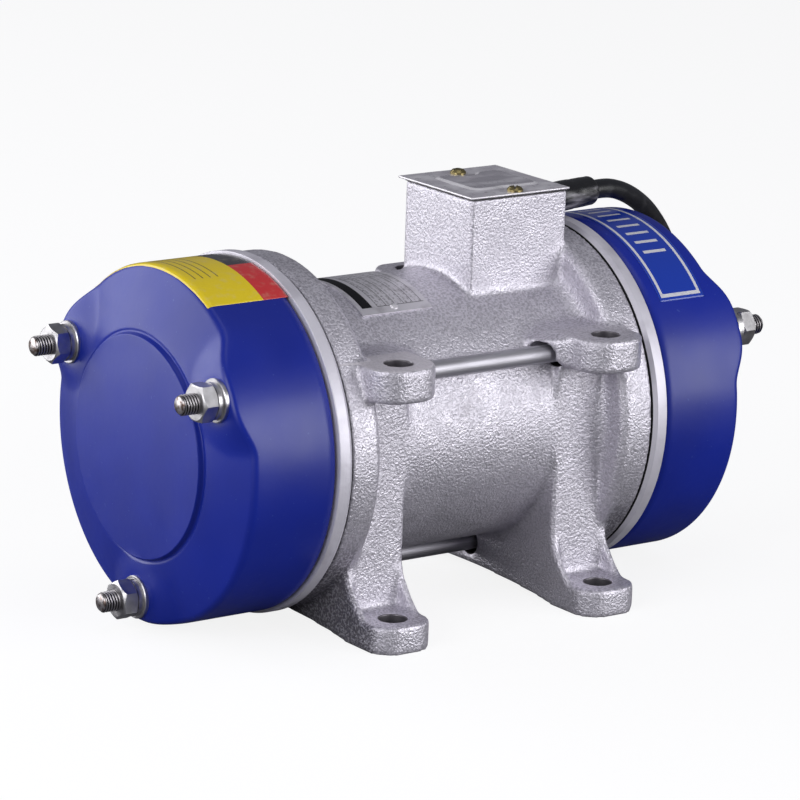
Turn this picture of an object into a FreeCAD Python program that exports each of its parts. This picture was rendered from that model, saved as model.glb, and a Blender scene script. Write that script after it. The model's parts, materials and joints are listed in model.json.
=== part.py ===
import FreeCAD, Part
import math
import os
from types import SimpleNamespace

import Sketcher

# External vibration motor: a three-phase motor whose shaft carries eccentric weights at both
# ends under pressed steel caps.  Millimetres.  X runs along the shaft, Z is up, and the origin
# lies on the underside of the feet, midway along the shaft and right under its axis.

os.makedirs("parts", exist_ok=True)
doc = FreeCAD.newDocument("VibrationMotor")
sheet = doc.addObject("Spreadsheet::Sheet", "Sizes")

# ---------------------------------------------------------------- driving sizes
# "reach" is a distance from the middle of the motor along the shaft.

driving_sizes = [
    ("barrel_bore", 61, "bore that holds the stator core"),
    ("barrel_wall", 7, "cast barrel around the stator"),
    ("base_gap", 2, "feet underside to the lowest point of the end shields"),
    ("flange_thickness", 17.5, "cast end flange along the shaft"),
    ("flange_reach", 89.5, "joint face between flange and end shield"),
    ("rod_gap", 2, "between barrel and tie rods"),
    ("rod_margin", 12, "flange outside the circle of the tie rods"),
    ("shield_step", 1.5, "end shield past flange and cap"),
    ("flange_ease", 3, "eased corners of the casting"),
    ("barrel_flare", 5, "flare between barrel and flange"),
    ("arch_rise", 4, "rise of the arch between two feet"),
    ("foot_hole_x", 62, "foot and lug holes from the middle, along the shaft"),
    ("foot_hole_offset", 16, "foot holes from the face of the support"),
    ("foot_end", 15, "foot past its hole"),
    ("foot_hole_radius", 7, "vertical holes in feet and lugs"),
    ("foot_half_length", 17, "half of a foot along the shaft"),
    ("foot_thickness", 13.5, "foot"),
    ("foot_corner", 13, "rounded corners of feet"),
    ("rib_height", 25, "ribs that flare from support to foot"),
    ("rib_thickness", 3.5, "those ribs"),
    ("rib_root", 6, "wall between the outer ribs, thicker than they are by this"),
    ("lug_rise", 48, "upper face of the lugs above the axis"),
    ("lug_hole_offset", 13.5, "lug holes from the face of the support"),
    ("lug_end", 15.5, "lug past its hole"),
    ("lug_root", 24, "lug inside the face of the support"),
    ("lug_thickness", 16.5, "lug"),
    ("lug_half_length", 18, "half of a lug along the shaft"),
    ("lug_corner", 15, "rounded corners of lugs"),
    ("rod_radius", 4.5, "plain shank of a tie rod"),
    ("thread_radius", 5, "M10 ends of a tie rod"),
    ("thread_length", 38, "threaded end of a tie rod"),
    ("rod_stickout", 8.5, "tie rod past its nut"),
    ("rod_clearance", 0.9, "around the shank in its holes"),
    ("shield_thickness", 8.5, "end shield between flange and cap"),
    ("spigot_length", 5, "end shield register in the barrel"),
    ("spigot_wall", 6, "that register"),
    ("register_height", 2.5, "ring that centres the cap"),
    ("hub_wall", 11, "end shield around the bearing"),
    ("hub_lip", 4, "lip that stops the bearing"),
    ("bearing_screw_radius", 2.5, "M5 screw of the bearing cover"),
    ("bearing_screw_length", 16, "that screw under its head"),
    ("bearing_screw_head", 4.25, "head of that screw"),
    ("bearing_cover_thickness", 5, "bearing cover"),
    ("cap_sheet", 1.5, "cap steel"),
    ("cap_end_room", 3.3, "between shaft end and cap"),
    ("shoulder_length", 8.5, "sloping shoulder of the cap, along the shaft"),
    ("shoulder_width", 19, "sloping shoulder of the cap, across the face"),
    ("lobe_corner", 3, "corner of the cap at its bolt seats"),
    ("lobe_flare", 11, "flare of a bolt seat into the shoulder"),
    ("boss_radius", 54, "raised middle of the cap"),
    ("boss_height", 3, "that middle"),
    ("nut_flats", 17, "M10 nut across flats"),
    ("nut_height", 8, "M10 nut"),
    ("flat_washer_radius", 10.5, "flat washer"),
    ("flat_washer_thickness", 2, "flat washer"),
    ("spring_washer_radius", 9, "spring washer"),
    ("spring_washer_thickness", 2.5, "spring washer"),
    ("core_half_length", 35, "half of the stator and rotor cores"),
    ("stator_bore", 36, "bore of the stator core"),
    ("slot_depth", 14, "stator slots"),
    ("slot_width", 5, "stator slots"),
    ("slot_opening", 2.4, "mouth of a stator slot"),
    ("slot_lining", 0.3, "insulation in a stator slot"),
    ("air_gap", 0.4, "between rotor and stator"),
    ("coil_length", 24, "coil head past the core"),
    ("coil_gap", 4, "coil head to barrel"),
    ("bar_radius", 2.4, "rotor cage bar"),
    ("end_ring_length", 8, "rotor cage end ring"),
    ("core_seat_radius", 17, "shaft inside the rotor core"),
    ("shaft_body_radius", 15, "shaft between core and bearings"),
    ("bearing_bore", 12.5, "bearing bore radius"),
    ("bearing_radius", 31, "bearing outside radius"),
    ("bearing_width", 17, "bearing"),
    ("ball_radius", 5.7, "bearing ball"),
    ("race_gap", 0.05, "ball to race"),
    ("spacer_radius", 15, "sleeve between bearing and weight"),
    ("spacer_length", 9, "that sleeve"),
    ("seal_radius", 19, "shaft seal"),
    ("weight_seat_radius", 12, "shaft under the weights"),
    ("weight_clearance", 5.5, "between the weights and the tie rods"),
    ("weight_angle", 160, "sector of a weight"),
    ("weight_thickness", 16, "each weight"),
    ("weight_gap", 1, "between the two weights of one end"),
    ("weight_hub_radius", 22, "hub of a weight"),
    ("running_gap", 0.2, "outer weight to its lock washer"),
    ("turning_fit", 0.05, "radial play of the outer weight on the shaft"),
    ("key_width", 8, "weight key"),
    ("key_height", 7, "weight key"),
    ("ear_half_width", 9, "clamping ears of the outer weight"),
    ("ear_height", 32, "those ears above the axis"),
    ("ear_slit", 2, "slit between them"),
    ("clamp_screw_radius", 4, "clamping screw"),
    ("shaft_thread_radius", 10, "threaded shaft end"),
    ("shaft_nut_flats", 30, "shaft nut"),
    ("shaft_nut_height", 8.5, "shaft nut"),
    ("lock_washer_thickness", 1.5, "lock washer under the shaft nut"),
    ("shaft_end_spare", 1.5, "shaft past its nut"),
    ("box_start", 17, "inner end of the terminal box"),
    ("box_end", 75, "outer end of the terminal box"),
    ("box_front", 30, "front of the terminal box from the axis"),
    ("box_back", 26, "back of the terminal box from the axis"),
    ("box_floor_gap", 4, "floor of the terminal box above the barrel"),
    ("box_depth", 36.5, "inside depth of the terminal box"),
    ("box_wall", 4.5, "terminal box"),
    ("cover_overhang", 1, "cover past the box"),
    ("cover_back_overhang", 4.5, "cover past the back of the box"),
    ("cover_thickness", 1, "sheet cover"),
    ("cover_plateau", 0.9, "raised field of the cover"),
    ("plateau_left", 10, "that field from the box's inner end"),
    ("plateau_right", 6, "that field from the box's outer end"),
    ("plateau_front", 12, "that field from the box's front"),
    ("plateau_back", 7, "that field from the box's back"),
    ("gasket_thickness", 0.6, "under the cover"),
    ("cover_screw_radius", 2, "M4 cover screw"),
    ("cover_screw_length", 13, "that screw under its head"),
    ("cover_screw_head", 4, "head of that screw"),
    ("cover_screw_height", 2.6, "head of that screw"),
    ("screw_boss_radius", 5, "boss for a cover screw"),
    ("terminal_pitch", 10, "between the terminal studs"),
    ("terminal_base_height", 9, "moulding of the terminal block"),
    ("terminal_barrier_height", 5, "barriers between the terminals"),
    ("stud_radius", 2.5, "M5 terminal stud"),
    ("stud_reach", 9, "terminal stud above the moulding"),
    ("terminal_nut_height", 3.6, "nut on a terminal stud"),
    ("lead_radius", 1.4, "lead from winding to terminal"),
    ("lead_slot_start", 40, "slot for those leads from the axis upwards"),
    ("earth_screw_radius", 2, "M4 earth screw"),
    ("sleeve_neck_radius", 7.7, "rubber cable sleeve where it passes the box wall"),
    ("sleeve_root_radius", 8.2, "that sleeve just outside the box"),
    ("sleeve_tip_radius", 7.4, "that sleeve at its outer end"),
    ("sleeve_length", 43, "sleeve outside the box"),
    ("sleeve_drop", 11.7, "sleeve below the rim of the terminal box"),
    ("sleeve_yaw", 7, "turn of the sleeve towards the back"),
    ("sleeve_pitch", 1.5, "rise of the sleeve"),
    ("cable_radius", 4.9, "supply cable"),
    ("cable_core_radius", 1.3, "one insulated core"),
    ("plate_start", 8.5, "nameplate from the middle"),
    ("plate_length", 41, "nameplate along the barrel"),
    ("plate_thickness", 0.8, "nameplate"),
    ("plate_angle", 60, "sector that the nameplate covers"),
    ("label_thickness", 0.2, "printed labels on the caps"),
    ("left_label_length", 45, "label on the left cap, along the shaft"),
    ("left_label_angle", 70, "sector that it covers"),
    ("left_label_middle_angle", 96, "direction of its middle"),
    ("right_label_length", 28, "label on the right cap, along the shaft"),
    ("right_label_angle", 80, "sector that it covers"),
    ("right_label_middle_angle", 80, "direction of its middle"),
    ("right_label_gap", 10, "right label from the end shield"),
    ("coil_mean_radius", 52, "coiled cable at the middle of its turns"),
    ("core_end_length", 27, "bare cores past the cable's end"),
    ("core_end_radius", 1.4, "one of those cores"),
]
for row, (alias, value, note) in enumerate(driving_sizes, start=1):
    sheet.set(f"A{row}", note)
    sheet.set(f"B{row}", str(value))
    sheet.setAlias(f"B{row}", alias)
doc.recompute()


class Size:
    """A number that also keeps the sheet expression it came from."""

    def __init__(self, text, value):
        self.text = text
        self.value = float(value)

    def __add__(self, other):
        other = as_size(other)
        return Size(f"({self.text} + {other.text})", self.value + other.value)

    def __sub__(self, other):
        other = as_size(other)
        return Size(f"({self.text} - {other.text})", self.value - other.value)

    def __mul__(self, other):
        other = as_size(other)
        return Size(f"({self.text} * {other.text})", self.value * other.value)

    def __truediv__(self, other):
        other = as_size(other)
        return Size(f"({self.text} / {other.text})", self.value / other.value)

    def __radd__(self, other):
        return as_size(other) + self

    def __rsub__(self, other):
        return as_size(other) - self

    def __rmul__(self, other):
        return as_size(other) * self

    def __neg__(self):
        return Size(f"(0 - {self.text})", -self.value)


def as_size(thing):
    return thing if isinstance(thing, Size) else Size(f"{float(thing):.6g}", thing)


def cosine(angle):
    angle = as_size(angle)
    return Size(f"cos({angle.text})", math.cos(math.radians(angle.value)))


def sine(angle):
    angle = as_size(angle)
    return Size(f"sin({angle.text})", math.sin(math.radians(angle.value)))


s = SimpleNamespace()
for alias, value, note in driving_sizes:
    setattr(s, alias, Size(f"Sizes.{alias}", sheet.get(alias)))

# Sizes that follow from the driving ones.
s.barrel_radius = s.barrel_bore + s.barrel_wall
s.rod_circle = s.barrel_radius + s.rod_gap + s.rod_radius
s.flange_radius = s.rod_circle + s.rod_margin
s.cap_radius = s.flange_radius
s.shield_radius = s.flange_radius + s.shield_step
s.axis_height = s.shield_radius + s.base_gap
s.foot_hole_y = s.barrel_radius + s.foot_hole_offset
s.foot_reach = s.foot_hole_y + s.foot_end
s.lug_top = s.axis_height + s.lug_rise
s.lug_hole_y = s.barrel_radius + s.lug_hole_offset
s.lug_reach = s.lug_hole_y + s.lug_end
s.support_inner = s.foot_hole_x - s.foot_half_length
s.box_floor = s.barrel_radius + s.box_floor_gap
s.box_top = s.axis_height + s.box_floor + s.box_depth
s.sleeve_height = s.box_top - s.sleeve_drop
s.ball_circle = (s.bearing_bore + s.bearing_radius) / 2
s.weight_radius = s.rod_circle - s.thread_radius - s.weight_clearance

# The stack on one end of the shaft, outwards from the bearing.
shield_face = s.flange_reach + s.shield_thickness
bearing_end = shield_face - s.hub_lip
bearing_start = bearing_end - s.bearing_width
spacer_end = bearing_end + s.spacer_length
inner_weight_end = spacer_end + s.weight_thickness
outer_weight_start = inner_weight_end + s.weight_gap
outer_weight_end = outer_weight_start + s.weight_thickness
washer_start = outer_weight_end + s.running_gap
washer_end = washer_start + s.lock_washer_thickness
shaft_nut_end = washer_end + s.shaft_nut_height
shaft_end = shaft_nut_end + s.shaft_end_spare
cap_face = shaft_end + s.cap_end_room + s.cap_sheet

# ---------------------------------------------------------------- building helpers

x_axis = FreeCAD.Vector(1, 0, 0)
z_axis = FreeCAD.Vector(0, 0, 1)
no_turn = FreeCAD.Rotation()
along_x = FreeCAD.Rotation(FreeCAD.Vector(0, 1, 0), 90)
along_y = FreeCAD.Rotation(FreeCAD.Vector(1, 0, 0), -90)
about_face = FreeCAD.Rotation(z_axis, 180)
upright = FreeCAD.Rotation(FreeCAD.Vector(0, 1, 0), -90)
pieces = []


def drive(thing, **values):
    for name, value in values.items():
        if isinstance(value, Size):
            thing.setExpression(name, value.text)
        else:
            setattr(thing, name, value)
    return thing


def put(thing, x=0, y=0, z=0, turn=no_turn):
    x, y, z = as_size(x), as_size(y), as_size(z)
    thing.Placement = FreeCAD.Placement(FreeCAD.Vector(x.value, y.value, z.value), turn)
    for axis, place in (("x", x), ("y", y), ("z", z)):
        if "Sizes" in place.text:
            thing.setExpression(f"Placement.Base.{axis}", place.text)
    return thing


def block(name, x, y, z):
    """A box between two values along each axis."""
    box = doc.addObject("Part::Box", name)
    drive(box, Length=as_size(x[1]) - x[0], Width=as_size(y[1]) - y[0], Height=as_size(z[1]) - z[0])
    return put(box, x[0], y[0], z[0])


def bar(name, radius, start, end, across=(0, 0), axis="x", sector=360):
    """A round bar from start to end; across gives its place on the other two axes."""
    cylinder = doc.addObject("Part::Cylinder", name)
    drive(cylinder, Radius=radius, Height=as_size(end) - start, Angle=sector)
    a, b = across
    if axis == "x":
        return put(cylinder, start, a, b, along_x)
    if axis == "y":
        return put(cylinder, a, start, b, along_y)
    return put(cylinder, a, b, start)


def sector_bar(name, radius, start, end, middle, width, z):
    """A slice of a bar along X; its middle points at an angle from -Y, up through +Z."""
    cylinder = doc.addObject("Part::Cylinder", name)
    drive(cylinder, Radius=radius, Height=as_size(end) - start, Angle=width)
    first = math.radians(as_size(middle).value + as_size(width).value / 2)
    ahead = FreeCAD.Vector(0, -math.cos(first), math.sin(first))
    turn = FreeCAD.Rotation(ahead, x_axis.cross(ahead), x_axis, "ZXY")
    return put(cylinder, start, 0, z, turn)


def fuse(name, *parts):
    joined = doc.addObject("Part::MultiFuse", name)
    joined.Shapes = list(parts)
    joined.Refine = True
    return joined


def cut(name, base, *tools):
    tool = tools[0] if len(tools) == 1 else fuse(name + "_tools", *tools)
    rest = doc.addObject("Part::Cut", name)
    rest.Base = base
    rest.Tool = tool
    rest.Refine = True
    return rest


def common(name, *parts):
    shared = doc.addObject("Part::MultiCommon", name)
    shared.Shapes = list(parts)
    shared.Refine = True
    return shared


def mirrored(name, source, normal=x_axis):
    other = doc.addObject("Part::Mirroring", name)
    other.Source = source
    other.Normal = normal
    return other


def origin_plane(body, role):
    return next(f for f in body.Origin.OriginFeatures if f.Role == role)


def outline_sketch(body, name, role, outline):
    """A closed outline of straight lines, each corner placed by the sheet."""
    sketch = body.newObject("Sketcher::SketchObject", name)
    sketch.AttachmentSupport = [(origin_plane(body, role), "")]
    sketch.MapMode = "FlatFace"
    corners = [(as_size(a), as_size(b)) for a, b in outline]
    count = len(corners)
    for index, (a, b) in enumerate(corners):
        c, d = corners[(index + 1) % count]
        start = FreeCAD.Vector(a.value, b.value, 0)
        end = FreeCAD.Vector(c.value, d.value, 0)
        sketch.addGeometry(Part.LineSegment(start, end))
    for index in range(count):
        sketch.addConstraint(Sketcher.Constraint("Coincident", index, 2, (index + 1) % count, 1))
    for index, corner in enumerate(corners):
        for kind, axis, place in (("DistanceX", -2, corner[0]), ("DistanceY", -1, corner[1])):
            if abs(place.value) < 1e-9:
                sketch.addConstraint(Sketcher.Constraint("PointOnObject", index, 1, axis))
                continue
            rule = Sketcher.Constraint(kind, -1, 1, index, 1, place.value)
            number = sketch.addConstraint(rule)
            if "Sizes" in place.text:
                sketch.setExpression(f"Constraints[{number}]", place.text)
    return sketch


def turned(name, outline, x=0, y=0, z=0, turn=no_turn):
    """A body turned about its own X axis; outline holds (place along X, radius) corners."""
    body = doc.addObject("PartDesign::Body", name)
    sketch = outline_sketch(body, name + "_outline", "XZ_Plane", outline)
    turning = body.newObject("PartDesign::Revolution", name + "_turning")
    turning.Profile = sketch
    turning.ReferenceAxis = (sketch, ["H_Axis"])
    turning.Angle = 360
    body.Tip = turning
    return put(body, x, y, z, turn)


def padded(name, outline, role, depth, x=0, y=0, z=0):
    """A body padded from an outline; on YZ_Plane the corners are (y, z) and it grows along X."""
    body = doc.addObject("PartDesign::Body", name)
    sketch = outline_sketch(body, name + "_outline", role, outline)
    pad = body.newObject("PartDesign::Pad", name + "_pad")
    pad.Profile = sketch
    drive(pad, Length=depth)
    body.Tip = pad
    return put(body, x, y, z)


def rounded_block(name, x, y, z, corner, rounded_side):
    """A box whose two upright edges on one side in Y are rounded."""
    box = block(name + "_box", x, y, z)
    doc.recompute()
    side = as_size(y[0] if rounded_side < 0 else y[1]).value
    edges = []
    for number, edge in enumerate(box.Shape.Edges, start=1):
        ends = [vertex.Point for vertex in edge.Vertexes]
        upright = abs(ends[0].z - ends[1].z) > 1e-6
        if upright and abs(ends[0].y - side) < 1e-6:
            edges.append((number, corner.value, corner.value))
    rounded = doc.addObject("Part::Fillet", name)
    rounded.Base = box
    rounded.Edges = edges
    return rounded


def copies(name, master, places):
    """One node of separate equal solids."""
    doc.recompute()
    group = doc.addObject("Part::Feature", name)
    solids = []
    for place in places:
        for solid in master.Shape.Solids:
            copy = solid.copy()
            copy.Placement = place.multiply(copy.Placement)
            solids.append(copy)
    group.Shape = Part.makeCompound(solids)
    return group


def gathered(name, *members):
    """Several objects in one node, left as separate solids."""
    group = doc.addObject("Part::Compound", name)
    group.Links = list(members)
    return group


def keep(label, thing):
    thing.Label = label
    pieces.append(thing)
    return thing


def keep_pair(label, right_piece):
    """A piece of the right end and its mirror image at the left end."""
    keep("right_" + label, right_piece)
    keep("left_" + label, mirrored("left_" + label, right_piece))


def bend_path(points):
    """Straight runs joined by tangent arcs as large as the runs allow; returns wire and radii."""
    spots = [FreeCAD.Vector(*point) for point in points]
    edges = []
    radii = []
    here = spots[0]
    for before, corner, after in zip(spots, spots[1:], spots[2:]):
        back = (before - corner).normalize()
        ahead = (after - corner).normalize()
        half_turn = (math.pi - back.getAngle(ahead)) / 2
        shorter = min((before - corner).Length, (after - corner).Length)
        radius = 0.45 * shorter / math.tan(half_turn)
        tangent = 0.45 * shorter
        start = corner + back * tangent
        end = corner + ahead * tangent
        middle_way = (back + ahead).normalize()
        centre = corner + middle_way * (radius / math.cos(half_turn))
        middle = centre - middle_way * radius
        edges.append(Part.LineSegment(here, start).toShape())
        edges.append(Part.Arc(start, middle, end).toShape())
        radii.append(radius)
        here = end
    edges.append(Part.LineSegment(here, spots[-1]).toShape())
    return Part.Wire(edges), radii


def tube(name, points, radius):
    """A round solid along straight runs and tangent arcs."""
    path, radii = bend_path(points)
    first = (FreeCAD.Vector(*points[1]) - FreeCAD.Vector(*points[0])).normalize()
    ring = Part.Wire([Part.Circle(FreeCAD.Vector(*points[0]), first, radius).toShape()])
    solid = path.makePipeShell([ring], True, True)
    whole = math.pi * radius ** 2 * path.Length
    print(f"{name}: {path.Length:.1f} long, smallest bend {min(radii):.1f}, "
          f"volume {solid.Volume / whole:.4f} of section times length")
    feature = doc.addObject("Part::Feature", name)
    feature.Shape = solid
    return feature


# ---------------------------------------------------------------- places worked out from them

base_to_axis = s.axis_height
flange_inner = s.flange_reach - s.flange_thickness
rod_hole = s.rod_radius + s.rod_clearance
rod_spots = []  # offset from the axis across and up: front, back and bottom tie rod
for angle in (30, 150, 270):
    rod_spots.append((-(s.rod_circle * cosine(angle)), s.rod_circle * sine(angle)))
nut_seat = cap_face + s.flat_washer_thickness + s.spring_washer_thickness
rod_reach = nut_seat + s.nut_height + s.rod_stickout
lug_floor = s.lug_top - s.lug_thickness
box_middle_x = (s.box_start + s.box_end) / 2
cover_seat = s.box_top + s.gasket_thickness


def rod_holes(name, start, end, radius=rod_hole):
    """The three clearance bars of the tie rods."""
    holes = []
    for index, (across, up) in enumerate(rod_spots):
        holes.append(bar(f"{name}_{index}", radius, start, end, (across, base_to_axis + up)))
    return holes


# ---------------------------------------------------------------- stator housing casting

barrel_outline = [
    (-s.flange_reach, 0),
    (-s.flange_reach, s.flange_radius),
    (-flange_inner - s.flange_ease, s.flange_radius),
    (-flange_inner, s.flange_radius - s.flange_ease),
    (-flange_inner, s.barrel_radius + s.barrel_flare),
    (-flange_inner + s.barrel_flare, s.barrel_radius),
    (flange_inner - s.barrel_flare, s.barrel_radius),
    (flange_inner, s.barrel_radius + s.barrel_flare),
    (flange_inner, s.flange_radius - s.flange_ease),
    (flange_inner + s.flange_ease, s.flange_radius),
    (s.flange_reach, s.flange_radius),
    (s.flange_reach, 0),
]
barrel = turned("barrel", barrel_outline, z=base_to_axis)

support = block("support", (s.support_inner, flange_inner + s.flange_ease),
                (-s.barrel_radius, s.barrel_radius), (0, lug_floor + s.flange_ease))
foot_ends = (s.foot_hole_x - s.foot_half_length, s.foot_hole_x + s.foot_half_length)
arch_radius = (s.barrel_radius * s.barrel_radius + s.arch_rise * s.arch_rise) / (2 * s.arch_rise)
arch = bar("arch", arch_radius, foot_ends[0] - 1, foot_ends[1] + 1, (0, s.arch_rise - arch_radius))

front_foot = rounded_block("front_foot", foot_ends, (-s.foot_reach, s.foot_corner - s.barrel_radius),
                           (0, s.foot_thickness), s.foot_corner, -1)
lug_ends = (s.foot_hole_x - s.lug_half_length, s.foot_hole_x + s.lug_half_length)
front_lug = rounded_block("front_lug", lug_ends, (-s.lug_reach, s.lug_root - s.barrel_radius),
                          (lug_floor, s.lug_top), s.lug_corner, -1)
rib_outline = [
    (-s.barrel_radius + 1, s.foot_thickness - 1),
    (-s.foot_hole_y, s.foot_thickness - 1),
    (-s.foot_hole_y + s.foot_hole_radius, s.foot_thickness + 0.22 * s.rib_height),
    (-s.barrel_radius - 2, s.foot_thickness + 0.6 * s.rib_height),
    (-s.barrel_radius + 1, s.foot_thickness + s.rib_height),
]
inner_rib = padded("inner_rib", rib_outline, "YZ_Plane", s.rib_thickness, x=foot_ends[0])
outer_rib = padded("outer_rib", rib_outline, "YZ_Plane", s.rib_thickness,
                   x=foot_ends[1] - s.rib_thickness)
end_wall = block("end_wall", (foot_ends[1] - s.rib_thickness - s.rib_root, foot_ends[1]),
                 (-s.barrel_radius, 0), (0, s.foot_thickness + s.rib_height))
front_members = (front_foot, front_lug, inner_rib, outer_rib, end_wall)
front_mounts = fuse("front_mounts", *front_members)
back_mounts = mirrored("back_mounts", front_mounts, FreeCAD.Vector(0, 1, 0))
whole_support = fuse("whole_support", support, front_mounts, back_mounts)
right_support = cut("right_support", whole_support, arch)
left_support = mirrored("left_support", right_support)

box_shell = block("box_shell", (s.box_start, s.box_end), (-s.box_front, s.box_back),
                  (base_to_axis, s.box_top))
box_inside = block("box_inside", (s.box_start + s.box_wall, s.box_end - s.box_wall),
                   (s.box_wall - s.box_front, s.box_back - s.box_wall),
                   (base_to_axis + s.box_floor, s.box_top + 1))
screw_spots = (-s.box_front + s.box_wall, s.box_back - s.box_wall)
box_bosses = []
for index, across in enumerate(screw_spots):
    box_bosses.append(bar(f"box_boss_{index}", s.screw_boss_radius, base_to_axis + s.box_floor,
                          s.box_top, (box_middle_x, across), "z"))
box_space = cut("box_space", box_inside, *box_bosses)

vertical_holes = []
for side in (-1, 1):
    for end in (-1, 1):
        foot_place = (end * s.foot_hole_x, side * s.foot_hole_y)
        lug_place = (end * s.foot_hole_x, side * s.lug_hole_y)
        number = len(vertical_holes)
        vertical_holes.append(bar(f"foot_hole_{number}", s.foot_hole_radius, -1,
                                  s.foot_thickness + s.rib_height, foot_place, "z"))
        vertical_holes.append(bar(f"lug_hole_{number}", s.foot_hole_radius, lug_floor - 1,
                                  s.lug_top + 1, lug_place, "z"))
stator_bore_tool = bar("stator_bore_tool", s.barrel_bore, -s.flange_reach - 1,
                       s.flange_reach + 1, (0, base_to_axis))
screw_holes = []
for index, across in enumerate(screw_spots):
    screw_holes.append(bar(f"screw_hole_{index}", s.cover_screw_radius, s.box_top - s.cover_screw_length - 1,
                           s.box_top + 1, (box_middle_x, across), "z"))
lead_slot_x = (s.core_half_length + 6, s.core_half_length + s.coil_length - 4)
lead_slot_y = (8.5, 14.5)
lead_slot = block("lead_slot", lead_slot_x, lead_slot_y,
                  (base_to_axis + s.lead_slot_start, base_to_axis + s.box_floor + 1))
earth_spot = (s.box_end - s.box_wall - 5, -s.box_front + s.box_wall + 6)
earth_hole = bar("earth_hole", s.earth_screw_radius, base_to_axis + s.box_floor - 4,
                 base_to_axis + s.box_floor + 1, earth_spot, "z")

sleeve_turn = FreeCAD.Rotation(z_axis, s.sleeve_yaw.value).multiply(
    FreeCAD.Rotation(FreeCAD.Vector(0, 1, 0), -s.sleeve_pitch.value))
sleeve_root = (s.box_end, 0, s.sleeve_height)
sleeve_inner = s.box_wall + 7
sleeve_hole = turned("sleeve_hole", [(-sleeve_inner, 0), (-sleeve_inner, s.sleeve_neck_radius),
                                     (sleeve_inner, s.sleeve_neck_radius), (sleeve_inner, 0)],
                     *sleeve_root, turn=sleeve_turn)

plate_end = -s.plate_start
plate_begin = plate_end - s.plate_length
plate_middle = (plate_begin + plate_end) / 2
rivet_angle = s.plate_angle / 2 - 3
rivet_places = []
for side in (-1, 1):
    tilt = FreeCAD.Rotation(x_axis, side * rivet_angle.value)
    foot = FreeCAD.Vector(plate_middle.value, 0, 0) + tilt.multVec(z_axis) * s.barrel_radius.value
    rivet_places.append(FreeCAD.Placement(foot + z_axis * s.axis_height.value, tilt.multiply(upright)))
rivet_master = turned("rivet_master", [
    (-3, 0), (-3, 1), (s.plate_thickness, 1), (s.plate_thickness, 2.1),
    (s.plate_thickness + 0.7, 1.7), (s.plate_thickness + 1.1, 0.8), (s.plate_thickness + 1.1, 0)])
rivet_drill = turned("rivet_drill", [(-4, 0), (-4, 1), (4, 1), (4, 0)])
rivet_bores = copies("rivet_bores", rivet_drill, rivet_places)

casting = fuse("casting", barrel, right_support, left_support, box_shell)
housing = cut("housing", casting, stator_bore_tool, box_space, lead_slot, earth_hole, sleeve_hole,
              rivet_bores, *vertical_holes, *screw_holes,
              *rod_holes("housing_rod_hole", -s.flange_reach - 1, s.flange_reach + 1))
keep("stator_housing", housing)

# ---------------------------------------------------------------- end shields

hub_radius = s.bearing_radius + s.hub_wall
register_inner = s.rod_circle + rod_hole + 0.6
register_outer = s.cap_radius - s.cap_sheet
spigot_start = s.flange_reach - s.spigot_length
shield_outline = [
    (spigot_start, s.barrel_bore - s.spigot_wall),
    (spigot_start, s.barrel_bore),
    (s.flange_reach, s.barrel_bore),
    (s.flange_reach, s.shield_radius),
    (shield_face, s.shield_radius),
    (shield_face, register_outer),
    (shield_face + s.register_height, register_outer),
    (shield_face + s.register_height, register_inner),
    (shield_face, register_inner),
    (shield_face, s.seal_radius),
    (bearing_end, s.seal_radius),
    (bearing_end, s.bearing_radius),
    (bearing_start, s.bearing_radius),
    (bearing_start, hub_radius),
    (s.flange_reach, hub_radius),
    (s.flange_reach, s.barrel_bore - s.spigot_wall),
]
shield_blank = turned("shield_blank", shield_outline, z=base_to_axis)
cover_disc_start = bearing_start - s.bearing_cover_thickness
cover_screw_circle = s.bearing_radius + s.hub_wall / 2
bearing_screw_spots = []
for angle in (90, 210, 330):
    bearing_screw_spots.append((-(cover_screw_circle * cosine(angle)), cover_screw_circle * sine(angle)))
bearing_screw_holes = []
for index, (across, up) in enumerate(bearing_screw_spots):
    bearing_screw_holes.append(bar(f"bearing_screw_hole_{index}", s.bearing_screw_radius,
                                   bearing_start - 1, cover_disc_start + s.bearing_screw_length + 1,
                                   (across, base_to_axis + up)))
shield = cut("shield", shield_blank, *bearing_screw_holes,
             *rod_holes("shield_rod_hole", s.flange_reach - 1, shield_face + 1))
keep_pair("end_shield", shield)

seal = turned("seal", [(bearing_end + 0.4, s.spacer_radius + 0.1), (bearing_end + 0.4, s.seal_radius),
                       (shield_face, s.seal_radius), (shield_face, s.spacer_radius + 0.1)],
              z=base_to_axis)
keep_pair("shaft_seal", seal)

bearing_cover_blank = turned("bearing_cover_blank", [
    (cover_disc_start, s.shaft_body_radius + 0.6), (cover_disc_start, hub_radius),
    (bearing_start, hub_radius), (bearing_start, s.bearing_radius - 4),
    (bearing_start - 0.5, s.bearing_radius - 4), (bearing_start - 0.5, s.shaft_body_radius + 0.6)],
    z=base_to_axis)
bearing_cover_holes = []
for index, (across, up) in enumerate(bearing_screw_spots):
    bearing_cover_holes.append(bar(f"bearing_cover_hole_{index}", s.bearing_screw_radius,
                                   cover_disc_start - 1, bearing_start + 1, (across, base_to_axis + up)))
bearing_cover = cut("bearing_cover", bearing_cover_blank, *bearing_cover_holes)
keep_pair("bearing_cover", bearing_cover)

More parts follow.
